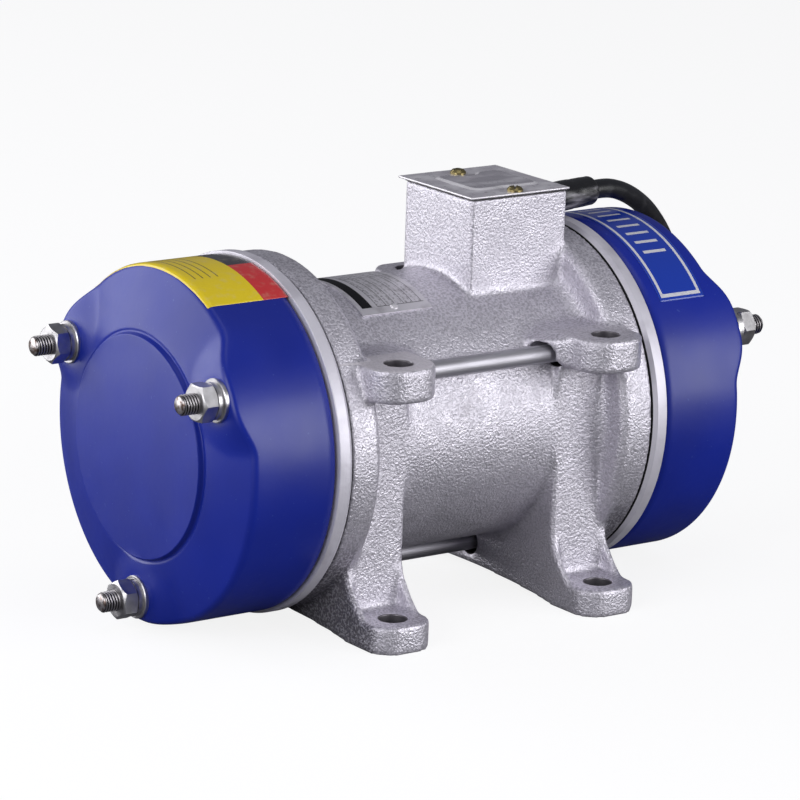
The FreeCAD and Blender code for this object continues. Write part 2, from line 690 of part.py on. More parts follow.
screw_outline = [
    (-1.4 * s.bearing_screw_radius, 0), (-1.4 * s.bearing_screw_radius, s.bearing_screw_head - 0.35),
    (-0.6, s.bearing_screw_head), (0, s.bearing_screw_head), (0, s.bearing_screw_radius),
    (s.bearing_screw_length - 1, s.bearing_screw_radius),
    (s.bearing_screw_length, s.bearing_screw_radius - 0.6), (s.bearing_screw_length, 0)]
bearing_screw_solid = turned("bearing_screw_solid", screw_outline)
hex_socket = doc.addObject("Part::Prism", "hex_socket")
drive(hex_socket, Polygon=6, Circumradius=0.92 * s.bearing_screw_radius,
      Height=s.bearing_screw_radius)
put(hex_socket, -1.4 * s.bearing_screw_radius - 0.1, turn=along_x)
bearing_screw = cut("bearing_screw", bearing_screw_solid, hex_socket)
screw_places = []
for turn_over in (no_turn, about_face):
    for across, up in bearing_screw_spots:
        start = FreeCAD.Vector(cover_disc_start.value, across.value, up.value)
        spot = turn_over.multVec(start) + z_axis * s.axis_height.value
        screw_places.append(FreeCAD.Placement(spot, turn_over))
keep("bearing_cover_screws", copies("bearing_cover_screws", bearing_screw, screw_places))

# ---------------------------------------------------------------- pressed caps


def cap_form(name, inset, rim):
    """The cap as a solid, drawn in by inset all round; the steel is what two of them leave."""
    face = cap_face - inset
    side = s.cap_radius - inset
    shoulder_start = face - s.shoulder_length
    slope_end = s.cap_radius - s.shoulder_width - inset
    dome = turned(name + "_dome", [
        (rim, 0), (rim, side), (shoulder_start - 2, side), (shoulder_start + 0.6, side - 3),
        (face - 0.6, slope_end + 1.5), (face, slope_end),
        (face, s.boss_radius), (face + s.boss_height, s.boss_radius - 3), (face + s.boss_height, 0)],
        z=base_to_axis)
    limit = turned(name + "_limit", [
        (rim, 0), (rim, side), (face - s.lobe_corner, side), (face - 0.3 * s.lobe_corner,
         side - 0.3 * s.lobe_corner), (face, side - s.lobe_corner), (face, 0)], z=base_to_axis)
    lobes = []
    seat = s.cap_radius - s.rod_circle - inset
    for index, (across, up) in enumerate(rod_spots):
        lobes.append(turned(f"{name}_lobe_{index}", [
            (0, 0), (0, seat + s.lobe_flare), (s.lobe_flare, seat + 0.25 * s.lobe_flare),
            (s.lobe_flare + 4, seat), (s.lobe_flare + 4, 0)],
            x=face - s.lobe_flare - 4, y=across, z=base_to_axis + up))
    seats = common(name + "_seats", limit, fuse(name + "_lobes", *lobes))
    return fuse(name, dome, seats)


cap_outside = cap_form("cap_outside", Size("0 * Sizes.cap_sheet", 0), shield_face)
cap_inside = cap_form("cap_inside", s.cap_sheet, shield_face - 1)
cap = cut("cap", cap_outside, cap_inside,
          *rod_holes("cap_rod_hole", shield_face, cap_face + 1, s.thread_radius + 0.4))
keep_pair("cap", cap)

# ---------------------------------------------------------------- tie rods, nuts and washers

shank_end = rod_reach - s.thread_length
rod_half = [(0, 0), (0, s.rod_radius), (shank_end - 1, s.rod_radius), (shank_end, s.thread_radius),
            (rod_reach - 1, s.thread_radius), (rod_reach, s.thread_radius - 1), (rod_reach, 0)]
rod_right_half = turned("rod_right_half", rod_half)
rod_left_half = mirrored("rod_left_half", rod_right_half)
tie_rod = fuse("tie_rod", rod_right_half, rod_left_half)

hex_corner = s.nut_flats / (2 * cosine(30))
nut_hex = doc.addObject("Part::Prism", "nut_hex")
drive(nut_hex, Polygon=6, Circumradius=hex_corner, Height=s.nut_height)
put(nut_hex, turn=along_x)
nut_round = turned("nut_round", [
    (0, 0), (0, 0.475 * s.nut_flats), (0.12 * s.nut_height, hex_corner),
    (0.84 * s.nut_height, hex_corner), (s.nut_height, 0.465 * s.nut_flats), (s.nut_height, 0)])
nut = cut("nut", common("nut_blank", nut_hex, nut_round),
          bar("nut_bore", s.thread_radius, -1, s.nut_height + 1))

spring_ring = turned("spring_ring", [
    (0, s.thread_radius + 0.2), (0, s.spring_washer_radius),
    (s.spring_washer_thickness, s.spring_washer_radius),
    (s.spring_washer_thickness, s.thread_radius + 0.2)])
spring_split = block("spring_split", (-1, s.spring_washer_thickness + 1), (-0.8, 0.8),
                     (0, s.spring_washer_radius + 1))
spring_washer = cut("spring_washer", spring_ring, spring_split)
flat_washer = turned("flat_washer", [
    (0, s.thread_radius + 0.3), (0, s.flat_washer_radius),
    (s.flat_washer_thickness - 0.4, s.flat_washer_radius),
    (s.flat_washer_thickness, s.flat_washer_radius - 0.4),
    (s.flat_washer_thickness, s.thread_radius + 0.3)])

doc.recompute()
hex_turns = (30, 12, 0)  # how each nut happened to stop: front, back, bottom


def rod_end_places(seat):
    """Places of what sits on the rod ends, from the right front round to the left bottom."""
    places = []
    for turn_over in (no_turn, about_face):
        for (across, up), stop in zip(rod_spots, hex_turns):
            spot = FreeCAD.Vector(seat.value if turn_over is no_turn else -seat.value,
                                  across.value, s.axis_height.value + up.value)
            places.append(FreeCAD.Placement(spot, turn_over.multiply(FreeCAD.Rotation(x_axis, stop))))
    return places


rod_places = []
for across, up in rod_spots:
    rod_places.append(FreeCAD.Placement(
        FreeCAD.Vector(0, across.value, s.axis_height.value + up.value), no_turn))
keep("tie_rods", copies("tie_rods", tie_rod, rod_places))
keep("tie_rod_nuts", copies("tie_rod_nuts", nut, rod_end_places(nut_seat)))
keep("spring_washers", copies("spring_washers", spring_washer,
                              rod_end_places(cap_face + s.flat_washer_thickness)))
keep("flat_washers", copies("flat_washers", flat_washer, rod_end_places(cap_face)))

# ---------------------------------------------------------------- stator core and winding

slot_count = 24
slot_start = s.stator_bore + 2
core_body = doc.addObject("PartDesign::Body", "stator_core_body")
core_sketch = outline_sketch(core_body, "stator_core_outline", "XZ_Plane", [
    (-s.core_half_length, s.stator_bore), (-s.core_half_length, s.barrel_bore),
    (s.core_half_length, s.barrel_bore), (s.core_half_length, s.stator_bore)])
core_turning = core_body.newObject("PartDesign::Revolution", "stator_core_turning")
core_turning.Profile = core_sketch
core_turning.ReferenceAxis = (core_sketch, ["H_Axis"])
core_turning.Angle = 360
slot_outline = [
    (-s.slot_opening / 2, s.stator_bore - 1), (s.slot_opening / 2, s.stator_bore - 1),
    (s.slot_opening / 2, slot_start), (s.slot_width / 2, slot_start + 1),
    (s.slot_width / 2, slot_start + s.slot_depth), (-s.slot_width / 2, slot_start + s.slot_depth),
    (-s.slot_width / 2, slot_start + 1), (-s.slot_opening / 2, slot_start)]
slot_sketch = outline_sketch(core_body, "stator_slot_outline", "YZ_Plane", slot_outline)
slot_pocket = core_body.newObject("PartDesign::Pocket", "stator_slot")
slot_pocket.Profile = slot_sketch
slot_pocket.Midplane = True
drive(slot_pocket, Length=2 * s.core_half_length + 2)
slot_pattern = core_body.newObject("PartDesign::PolarPattern", "stator_slots")
slot_pattern.Originals = [slot_pocket]
slot_pattern.Axis = (slot_sketch, ["N_Axis"])
slot_pattern.Angle = 360
slot_pattern.Occurrences = slot_count
core_body.Tip = slot_pattern
put(core_body, z=base_to_axis)
keep("stator_core", core_body)

head_start = s.core_half_length
head_end = head_start + s.coil_length
head_inner = slot_start + 1.5
head_outer = s.barrel_bore - s.coil_gap
head_ease = s.coil_length / 4
coil_heads = []
for name, way in (("right_coil_head", 1), ("left_coil_head", -1)):
    coil_heads.append(turned(name, [
        (way * head_start, head_inner), (way * head_start, head_outer - head_ease),
        (way * (head_start + head_ease), head_outer), (way * (head_end - head_ease), head_outer),
        (way * head_end, head_outer - head_ease), (way * head_end, head_inner + head_ease / 2),
        (way * (head_end - head_ease / 2), head_inner)], z=base_to_axis))
slot_bar = block("slot_bar", (-s.core_half_length - 1, s.core_half_length + 1),
                 (s.slot_lining - s.slot_width / 2, s.slot_width / 2 - s.slot_lining),
                 (slot_start + 1 + s.slot_lining, slot_start + s.slot_depth - s.slot_lining))
bar_places = []
for index in range(slot_count):
    bar_places.append(FreeCAD.Placement(z_axis * s.axis_height.value,
                                        FreeCAD.Rotation(x_axis, 360 * index / slot_count)))
slot_bars = copies("slot_bars", slot_bar, bar_places)
winding = fuse("winding", *coil_heads, slot_bars)
keep("stator_winding", winding)

# ---------------------------------------------------------------- rotor

core_seat_end = s.core_half_length + s.end_ring_length + 3
shaft_half = [
    (0, 0), (0, s.core_seat_radius), (core_seat_end, s.core_seat_radius),
    (core_seat_end + 1, s.shaft_body_radius), (bearing_start, s.shaft_body_radius),
    (bearing_start, s.bearing_bore), (spacer_end, s.bearing_bore),
    (spacer_end, s.weight_seat_radius), (washer_start - 1, s.weight_seat_radius),
    (washer_start, s.shaft_thread_radius), (shaft_end - 1, s.shaft_thread_radius),
    (shaft_end, s.shaft_thread_radius - 1), (shaft_end, 0)]
shaft_right_half = turned("shaft_right_half", shaft_half, z=base_to_axis)
shaft_left_half = mirrored("shaft_left_half", shaft_right_half)
key_x = (spacer_end + 1, inner_weight_end - 1)
key_floor = s.weight_seat_radius - s.key_height / 2 - 0.5
key_half = s.key_width / 2
key_z = (base_to_axis + key_floor, base_to_axis + key_floor + s.key_height)
keyways = []
for name, span in (("right_keyway", key_x), ("left_keyway", (-key_x[1], -key_x[0]))):
    keyways.append(block(name, span, (-key_half, key_half), key_z))
shaft = cut("shaft", fuse("shaft_blank", shaft_right_half, shaft_left_half), *keyways)
keep("rotor_shaft", shaft)
keep_pair("weight_key", block("weight_key", key_x, (-key_half, key_half), key_z))

rotor_radius = s.stator_bore - s.air_gap
rotor_bar_circle = rotor_radius - s.bar_radius - 1.6
rotor_bar_count = 20
rotor_bar_places = []
for index in range(rotor_bar_count):
    rotor_bar_places.append(FreeCAD.Placement(z_axis * s.axis_height.value, FreeCAD.Rotation(
        x_axis, 360 * index / rotor_bar_count)))
rotor_bar = bar("rotor_bar", s.bar_radius, -s.core_half_length, s.core_half_length,
                (0, rotor_bar_circle))
rotor_bars = copies("rotor_bars", rotor_bar, rotor_bar_places)
rotor_blank = turned("rotor_blank", [
    (-s.core_half_length, s.core_seat_radius), (-s.core_half_length, rotor_radius),
    (s.core_half_length, rotor_radius), (s.core_half_length, s.core_seat_radius)], z=base_to_axis)
keep("rotor_core", cut("rotor_core", rotor_blank, rotor_bars))

end_rings = []
for name, way in (("right_end_ring", 1), ("left_end_ring", -1)):
    end_rings.append(turned(name, [
        (way * s.core_half_length, s.core_seat_radius + 5),
        (way * s.core_half_length, rotor_radius - 0.6),
        (way * (s.core_half_length + s.end_ring_length), rotor_radius - 2),
        (way * (s.core_half_length + s.end_ring_length), s.core_seat_radius + 6.5)], z=base_to_axis))
keep("rotor_cage", fuse("rotor_cage", *end_rings, rotor_bars))

keep_pair("spacer_sleeve", turned("spacer", [
    (bearing_end, s.bearing_bore), (bearing_end, s.spacer_radius),
    (spacer_end, s.spacer_radius), (spacer_end, s.bearing_bore)], z=base_to_axis))

# ---------------------------------------------------------------- ball bearings

race_radius = s.ball_radius + s.race_gap
inner_shoulder = s.ball_circle - 0.62 * s.ball_radius
outer_shoulder = s.ball_circle + 0.62 * s.ball_radius
bearing_middle = (bearing_start + bearing_end) / 2
race = doc.addObject("Part::Torus", "race")
drive(race, Radius1=s.ball_circle, Radius2=race_radius)
put(race, bearing_middle, 0, base_to_axis, along_x)
inner_ring_blank = turned("inner_ring_blank", [
    (bearing_start, s.bearing_bore), (bearing_start, inner_shoulder),
    (bearing_end, inner_shoulder), (bearing_end, s.bearing_bore)], z=base_to_axis)
outer_ring_blank = turned("outer_ring_blank", [
    (bearing_start, outer_shoulder), (bearing_start, s.bearing_radius),
    (bearing_end, s.bearing_radius), (bearing_end, outer_shoulder)], z=base_to_axis)
keep_pair("bearing_inner_ring", cut("inner_ring", inner_ring_blank, race))
keep_pair("bearing_outer_ring", cut("outer_ring", outer_ring_blank, race))

ball_count = 7
ball = doc.addObject("Part::Sphere", "ball")
drive(ball, Radius=s.ball_radius)
put(ball, bearing_middle, 0, s.ball_circle)
ball_places = []
for index in range(ball_count):
    ball_places.append(FreeCAD.Placement(z_axis * s.axis_height.value, FreeCAD.Rotation(
        x_axis, 360 * index / ball_count)))
balls = copies("balls", ball, ball_places)
keep_pair("bearing_balls", balls)
cage_half = s.ball_radius + 1.4
cage_ring = turned("cage_ring", [
    (bearing_middle - cage_half, s.ball_circle - 1), (bearing_middle - cage_half, s.ball_circle + 1),
    (bearing_middle + cage_half, s.ball_circle + 1), (bearing_middle + cage_half, s.ball_circle - 1)],
    z=base_to_axis)
ball_room = doc.addObject("Part::Sphere", "ball_room")
drive(ball_room, Radius=s.ball_radius + 0.15)
put(ball_room, bearing_middle, 0, s.ball_circle)
keep_pair("ball_cage", cut("ball_cage", cage_ring, copies("ball_rooms", ball_room, ball_places)))

# ---------------------------------------------------------------- eccentric weights


def weight_blank(name, start, end):
    """Hub and sector of one weight, heavy side down."""
    sector = sector_bar(name + "_sector", s.weight_radius, start, end, 270, s.weight_angle,
                        base_to_axis)
    hub = bar(name + "_hub", s.weight_hub_radius, start, end, (0, base_to_axis))
    return fuse(name, sector, hub)


inner_weight = cut("inner_weight", weight_blank("inner_weight_blank", spacer_end, inner_weight_end),
                   bar("inner_weight_bore", s.weight_seat_radius, spacer_end - 1,
                       inner_weight_end + 1, (0, base_to_axis)),
                   block("inner_weight_keyway", (spacer_end - 1, inner_weight_end + 1),
                         (-key_half, key_half), (base_to_axis, key_z[1])))
keep_pair("inner_weight", inner_weight)

screw_height = base_to_axis + (s.weight_hub_radius + s.ear_height) / 2
outer_middle = (outer_weight_start + outer_weight_end) / 2
ears = block("ears", (outer_weight_start, outer_weight_end), (-s.ear_half_width, s.ear_half_width),
             (base_to_axis, base_to_axis + s.ear_height))
outer_blank = fuse("outer_blank", weight_blank("outer_weight_blank", outer_weight_start,
                                               outer_weight_end), ears)
outer_weight = cut("outer_weight", outer_blank,
                   bar("outer_weight_bore", s.weight_seat_radius + s.turning_fit,
                       outer_weight_start - 1, outer_weight_end + 1, (0, base_to_axis)),
                   block("slit", (outer_weight_start - 1, outer_weight_end + 1),
                         (-s.ear_slit / 2, s.ear_slit / 2),
                         (base_to_axis, base_to_axis + s.ear_height + 1)),
                   bar("clamp_hole", s.clamp_screw_radius, -s.ear_half_width - 1,
                       s.ear_half_width + 1, (outer_middle, screw_height), "y"))
keep_pair("outer_weight", outer_weight)

clamp_shank = bar("clamp_shank", s.clamp_screw_radius, -s.ear_half_width, s.ear_half_width + 3,
                  (outer_middle, screw_height), "y")
clamp_head = bar("clamp_head", 1.6 * s.clamp_screw_radius, -s.ear_half_width - 2 * s.clamp_screw_radius,
                 -s.ear_half_width, (outer_middle, screw_height), "y")
clamp_socket = doc.addObject("Part::Prism", "clamp_socket")
drive(clamp_socket, Polygon=6, Circumradius=0.86 * s.clamp_screw_radius, Height=s.clamp_screw_radius + 1)
put(clamp_socket, outer_middle, -s.ear_half_width - 2 * s.clamp_screw_radius - 1, screw_height, along_y)
keep_pair("clamp_screw", cut("clamp_screw", fuse("clamp_solid", clamp_shank, clamp_head), clamp_socket))

keep_pair("lock_washer", turned("lock_washer", [
    (washer_start, s.shaft_thread_radius), (washer_start, s.shaft_nut_flats / 2 + 1),
    (washer_end, s.shaft_nut_flats / 2 + 1), (washer_end, s.shaft_thread_radius)], z=base_to_axis))
shaft_hex_corner = s.shaft_nut_flats / (2 * cosine(30))
shaft_nut_hex = doc.addObject("Part::Prism", "shaft_nut_hex")
drive(shaft_nut_hex, Polygon=6, Circumradius=shaft_hex_corner, Height=s.shaft_nut_height)
put(shaft_nut_hex, washer_end, 0, base_to_axis, along_x)
shaft_nut_round = turned("shaft_nut_round", [
    (washer_end, 0), (washer_end, shaft_hex_corner), (shaft_nut_end - 1.5, shaft_hex_corner),
    (shaft_nut_end, s.shaft_nut_flats / 2 - 0.5), (shaft_nut_end, 0)], z=base_to_axis)
keep_pair("shaft_nut", cut("shaft_nut", common("shaft_nut_blank", shaft_nut_hex, shaft_nut_round),
                           bar("shaft_nut_bore", s.shaft_thread_radius, washer_end - 1,
                               shaft_nut_end + 1, (0, base_to_axis))))

# ---------------------------------------------------------------- terminal box

cover_x = (s.box_start - s.cover_overhang, s.box_end + s.cover_overhang)
cover_y = (-s.box_front - 0.5 * s.cover_overhang, s.box_back + s.cover_back_overhang)
cover_sheet = block("cover_sheet", cover_x, cover_y, (cover_seat, cover_seat + s.cover_thickness))
plateau = block("plateau", (s.box_start + s.plateau_left, s.box_end - s.plateau_right),
                (-s.box_front + s.plateau_front, s.box_back - s.plateau_back),
                (cover_seat, cover_seat + s.cover_thickness + s.cover_plateau))
plateau_notches = []
cover_holes = []
gasket_holes = []
for index, across in enumerate(screw_spots):
    spot = (box_middle_x, across)
    plateau_notches.append(bar(f"plateau_notch_{index}", 9, cover_seat - 1, cover_seat + 4, spot, "z"))
    cover_holes.append(bar(f"cover_hole_{index}", s.cover_screw_radius, cover_seat - 1,
                           cover_seat + 4, spot, "z"))
    gasket_holes.append(bar(f"gasket_hole_{index}", s.cover_screw_radius, s.box_top - 1,
                            cover_seat + 1, spot, "z"))
cover = cut("cover", fuse("cover_blank", cover_sheet, cut("plateau_field", plateau, *plateau_notches)),
            *cover_holes)
keep("terminal_box_cover", cover)

gasket_sheet = block("gasket_sheet", (s.box_start, s.box_end), (-s.box_front, s.box_back),
                     (s.box_top, cover_seat))
gasket_window = block("gasket_window", (s.box_start + s.box_wall, s.box_end - s.box_wall),
                      (screw_spots[0] + s.screw_boss_radius, screw_spots[1] - s.screw_boss_radius),
                      (s.box_top - 1, cover_seat + 1))
keep("cover_gasket", cut("cover_gasket", gasket_sheet, gasket_window, *gasket_holes))

head_seat = cover_seat + s.cover_thickness
cover_screw_solid = turned("cover_screw_solid", [
    (-s.cover_screw_length, 0), (-s.cover_screw_length, s.cover_screw_radius),
    (0, s.cover_screw_radius), (0, s.cover_screw_head),
    (0.35 * s.cover_screw_height, s.cover_screw_head),
    (0.8 * s.cover_screw_height, 0.74 * s.cover_screw_head),
    (s.cover_screw_height, 0.3 * s.cover_screw_head), (s.cover_screw_height, 0)])
driver_slot = block("driver_slot", (0.55 * s.cover_screw_height, s.cover_screw_height + 1), (-0.5, 0.5),
                    (-s.cover_screw_head - 1, s.cover_screw_head + 1))
cover_screw = cut("cover_screw", cover_screw_solid, driver_slot)
cover_screw_places = []
for across, stop in zip(screw_spots, (50, -25)):
    spot = FreeCAD.Vector(box_middle_x.value, across.value, head_seat.value)
    cover_screw_places.append(FreeCAD.Placement(spot, FreeCAD.Rotation(z_axis, stop).multiply(upright)))
keep("cover_screws", copies("cover_screws", cover_screw, cover_screw_places))

floor_height = base_to_axis + s.box_floor
block_middle = box_middle_x - 7
block_x = (block_middle - 1.5 * s.terminal_pitch, block_middle + 1.5 * s.terminal_pitch)
block_y = (-12, 7)
block_top = floor_height + s.terminal_base_height
terminal_row = (block_y[0] + block_y[1]) / 2
terminal_spots = []
for step in (-1, 0, 1):
    terminal_spots.append((block_middle + step * s.terminal_pitch, terminal_row))
base_moulding = block("base_moulding", block_x, block_y, (floor_height, block_top))
barriers = []
for index, step in enumerate((-0.5, 0.5)):
    middle = block_middle + step * s.terminal_pitch
    barriers.append(block(f"barrier_{index}", (middle - 0.8, middle + 0.8), block_y,
                          (block_top, block_top + s.terminal_barrier_height)))
stud_holes = []
studs = []
for index, spot in enumerate(terminal_spots):
    stud_holes.append(bar(f"stud_hole_{index}", s.stud_radius, floor_height + 3, block_top + 6, spot,
                          "z"))
    studs.append(bar(f"stud_{index}", s.stud_radius, floor_height + 3, block_top + s.stud_reach, spot,
                     "z"))
keep("terminal_block", cut("terminal_block", fuse("terminal_block_blank", base_moulding, *barriers),
                           *stud_holes))
keep("terminal_studs", gathered("terminal_studs", *studs))
small_hex = doc.addObject("Part::Prism", "small_hex")
drive(small_hex, Polygon=6, Circumradius=1.84 * s.stud_radius, Height=s.terminal_nut_height)
small_nut = cut("small_nut", small_hex,
                bar("small_nut_bore", s.stud_radius, -1, s.terminal_nut_height + 1, axis="z"))
small_nut_places = []
flats_to_barriers = FreeCAD.Rotation(z_axis, 30)
for across_x, across_y in terminal_spots:
    spot = FreeCAD.Vector(across_x.value, across_y, block_top.value)
    small_nut_places.append(FreeCAD.Placement(spot, flats_to_barriers))
keep("terminal_nuts", copies("terminal_nuts", small_nut, small_nut_places))

earth_screw_solid = turned("earth_screw_solid", [
    (-4, 0), (-4, s.earth_screw_radius), (0, s.earth_screw_radius), (0, 2 * s.earth_screw_radius),
    (2, 2 * s.earth_screw_radius), (2.6, 1.5 * s.earth_screw_radius), (2.6, 0)])
earth_slot = block("earth_slot", (1.4, 3), (-0.5, 0.5), (-5, 5))
earth_screw_master = cut("earth_screw_master", earth_screw_solid, earth_slot)
earth_place = FreeCAD.Placement(
    FreeCAD.Vector(earth_spot[0].value, earth_spot[1].value, floor_height.value), upright)
keep("earth_screw", copies("earth_screw", earth_screw_master, [earth_place]))

# ---------------------------------------------------------------- cable entry and inner wiring

sleeve_end = s.sleeve_length
collar_radius = s.sleeve_neck_radius + 1.8
shoulder_x = 1.3  # clears the box wall, which the sleeve leaves at a slant
sleeve_outline = [
    (-s.box_wall - 3.5, s.cable_radius), (-s.box_wall - 3.5, collar_radius),
    (-s.box_wall - 1.2, collar_radius), (-s.box_wall - 1.2, s.sleeve_neck_radius),
    (shoulder_x, s.sleeve_neck_radius), (shoulder_x, s.sleeve_root_radius),
    (sleeve_end - 3, s.sleeve_tip_radius), (sleeve_end - 0.8, s.sleeve_tip_radius - 0.6),
    (sleeve_end, s.sleeve_tip_radius - 1.6), (sleeve_end, s.cable_radius)]
keep("cable_sleeve", turned("sleeve", sleeve_outline, *sleeve_root, turn=sleeve_turn))
jacket_start = -s.box_wall - 7
inner_jacket = turned("inner_jacket", [
    (jacket_start, 0), (jacket_start, s.cable_radius), (sleeve_end, s.cable_radius), (sleeve_end, 0)],
    *sleeve_root, turn=sleeve_turn)
keep("cable_inner_end", inner_jacket)

root_spot = FreeCAD.Vector(s.box_end.value, 0, s.sleeve_height.value)
sleeve_way = sleeve_turn.multVec(x_axis)
jacket_spot = root_spot + sleeve_way * jacket_start.value
exit_spot = root_spot + sleeve_way * sleeve_end.value
core_radius = s.cable_core_radius.value
wire_end = (block_top + s.terminal_nut_height).value + 0.7  # just clear of the nut's top
stud_radius = s.stud_radius.value
core_wires = []
for index, (across_x, across_y) in enumerate(terminal_spots):
    start = jacket_spot + sleeve_turn.multVec(FreeCAD.Vector(0, (1 - index) * 2.7, 0))
    bend = start - sleeve_way * 6
    target = FreeCAD.Vector(across_x.value, across_y - stud_radius - core_radius, wire_end)
    above = target + FreeCAD.Vector(4, 0, 9.5)
    core_wires.append(tube(f"core_wire_{index}", [tuple(start), tuple(bend), tuple(above), tuple(target)],
                           core_radius))
keep("supply_cores", gathered("supply_cores", *core_wires))

lead_radius = s.lead_radius.value
lead_wires = []
coil_surface = s.axis_height.value + head_outer.value - 3.5
for index, (across_x, across_y) in enumerate(terminal_spots):
    lead_x = (lead_slot_x[0].value + lead_slot_x[1].value) / 2 + (index - 1) * 2.6 * lead_radius
    lead_y = (lead_slot_y[0] + lead_slot_y[1]) / 2
    low = FreeCAD.Vector(lead_x, lead_y, coil_surface)
    high = FreeCAD.Vector(lead_x, lead_y, wire_end + 0.8)
    target = FreeCAD.Vector(across_x.value, across_y + stud_radius + lead_radius, wire_end)
    above = target + FreeCAD.Vector(0, 2, 7.5)
    lead_wires.append(tube(f"lead_{index}", [tuple(low), tuple(high), tuple(above), tuple(target)],
                           lead_radius))
keep("stator_leads", gathered("stator_leads", *lead_wires))

# ---------------------------------------------------------------- nameplate and labels

plate_outer = sector_bar("plate_outer", s.barrel_radius + s.plate_thickness, plate_begin, plate_end,
                         90, s.plate_angle, base_to_axis)
plate_core = bar("plate_core", s.barrel_radius, plate_begin - 1, plate_end + 1, (0, base_to_axis))
keep("nameplate", cut("nameplate", plate_outer, plate_core, rivet_bores))
keep("nameplate_rivets", copies("nameplate_rivets", rivet_master, rivet_places))


def label(name, start, length, middle, width):
    """A thin printed skin on a cap."""
    skin = sector_bar(name + "_skin", s.cap_radius + s.label_thickness, start, start + length,
                      middle, width, base_to_axis)
    core = bar(name + "_core", s.cap_radius, start - 1, start + length + 1, (0, base_to_axis))
    return keep(name, cut(name, skin, core))


label("left_cap_label", -shield_face - 0.5 - s.left_label_length, s.left_label_length,
      s.left_label_middle_angle, s.left_label_angle)
label("right_cap_label", shield_face + s.right_label_gap, s.right_label_length,
      s.right_label_middle_angle, s.right_label_angle)

# ---------------------------------------------------------------- supply cable

radius = s.cable_radius.value
# Each place: out from the sleeve's end, back from it, and its share of that end's height.
cable_route = [
    (17.64, 2.36, 0.9928), (26.34, 4.06, 0.9747), (34.74, 6.16, 0.9507), (43.04, 8.76, 0.9201),
    (51.14, 11.66, 0.8818), (59.34, 14.66, 0.8354), (67.54, 18.26, 0.7786),
    (75.04, 22.76, 0.7108), (81.34, 28.26, 0.6316), (85.74, 34.96, 0.5415),
    (87.74, 42.76, 0.4404), (86.74, 51.76, 0.3366), (82.54, 62.26, 0.2355),
    (74.64, 74.76, 0.1453), (63.14, 88.76, 0.0743), (48.64, 103.26, 0.0251),
    (31.84, 117.26, 0.0000), (13.34, 128.76, 0.0000), (-7.16, 136.76, 0.0000),
    (-28.16, 140.26, 0.0000), (-48.66, 140.26, 0.0000),
]
cable_points = [tuple(exit_spot), tuple(exit_spot + sleeve_way * 9)]
for out, back, share in cable_route:
    cable_points.append((exit_spot.x + out, exit_spot.y + back, radius + share * (exit_spot.z - radius)))
keep("power_cable", tube("power_cable", cable_points, radius))

# Four turns wide and high together: two beside each other, and two more on top of them.  The
# free end lies on the lower turns, where the outer upper turn stops short.
coil_x = cable_points[-1][0]
coil_y = cable_points[-1][1] + s.coil_mean_radius.value + radius
coil_inner = s.coil_mean_radius - 2 * s.cable_radius
coil_outer = s.coil_mean_radius + 2 * s.cable_radius
coil_height = 4 * s.cable_radius
coil_ring = turned("coil_ring", [(0, coil_inner), (0, coil_outer), (coil_height, coil_outer),
                                 (coil_height, coil_inner)], coil_x, coil_y, 0, upright)
free_place = 55  # degrees of the coil left free for the bare cores
end_angle = 200  # where the cable ends, seen from above, from +X towards +Y
gap_disc = doc.addObject("Part::Cylinder", "gap_disc")
drive(gap_disc, Radius=coil_outer + 1, Height=2 * s.cable_radius + 1, Angle=free_place)
put(gap_disc, coil_x, coil_y, 2 * s.cable_radius,
    FreeCAD.Rotation(z_axis, end_angle - free_place))
gap_core = bar("gap_core", s.coil_mean_radius, 0, coil_height + 2, (coil_x, coil_y), "z")
keep("cable_coil", cut("cable_coil", coil_ring, cut("coil_gap", gap_disc, gap_core)))

core_master = turned("core_master", [
    (0, 0), (0, s.core_end_radius), (s.core_end_length - 10, s.core_end_radius),
    (s.core_end_length - 9.5, s.core_end_radius + 0.5), (s.core_end_length - 8, s.core_end_radius + 0.5),
    (s.core_end_length - 7.5, s.core_end_radius - 0.5), (s.core_end_length, s.core_end_radius - 0.5),
    (s.core_end_length, 0)])
end_turn = math.radians(end_angle)
end_radial = FreeCAD.Vector(math.cos(end_turn), math.sin(end_turn), 0)
end_way = FreeCAD.Vector(math.sin(end_turn), -math.cos(end_turn), 0)
end_spot = FreeCAD.Vector(coil_x, coil_y, 3 * radius) + end_radial * (s.coil_mean_radius.value + radius)
core_places = []
for offset, drop in ((-2.6, 1.2), (0, 2.2), (2.6, 1.2)):
    start = end_spot + end_radial * offset - z_axis * (0.5 * drop)
    way = (end_way * s.core_end_length.value + end_radial * (offset * 0.6) - z_axis * drop).normalize()
    core_places.append(FreeCAD.Placement(start, FreeCAD.Rotation(x_axis, way)))
keep("cable_end_cores", copies("cable_end_cores", core_master, core_places))

doc.recompute()

# ---------------------------------------------------------------- check and write

faults = []
for thing in doc.Objects:
    if "Invalid" in thing.State or "Error" in thing.State:
        faults.append(f"{thing.Label}: {thing.State}")
for piece in pieces:
    shape = piece.Shape
    if shape.isNull() or not shape.isValid() or not shape.Solids or shape.Volume <= 0:
        faults.append(f"{piece.Label}: no valid solid")
if faults:
    raise RuntimeError("; ".join(faults))
for piece in pieces:
    piece.Shape.exportStep(f"parts/{piece.Label}.step")
print(f"{len(pieces)} nodes written")
for piece in pieces:
    box = piece.Shape.BoundBox
    print(f"{piece.Label:24s} {len(piece.Shape.Solids):3d} solids {piece.Shape.Volume / 1000:9.2f} cm3  "
          f"x {box.XMin:8.2f} {box.XMax:8.2f}  y {box.YMin:8.2f} {box.YMax:8.2f}  "
          f"z {box.ZMin:8.2f} {box.ZMax:8.2f}")
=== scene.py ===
import json
import math
import bmesh
import bpy
import numpy as np
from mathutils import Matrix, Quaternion, Vector


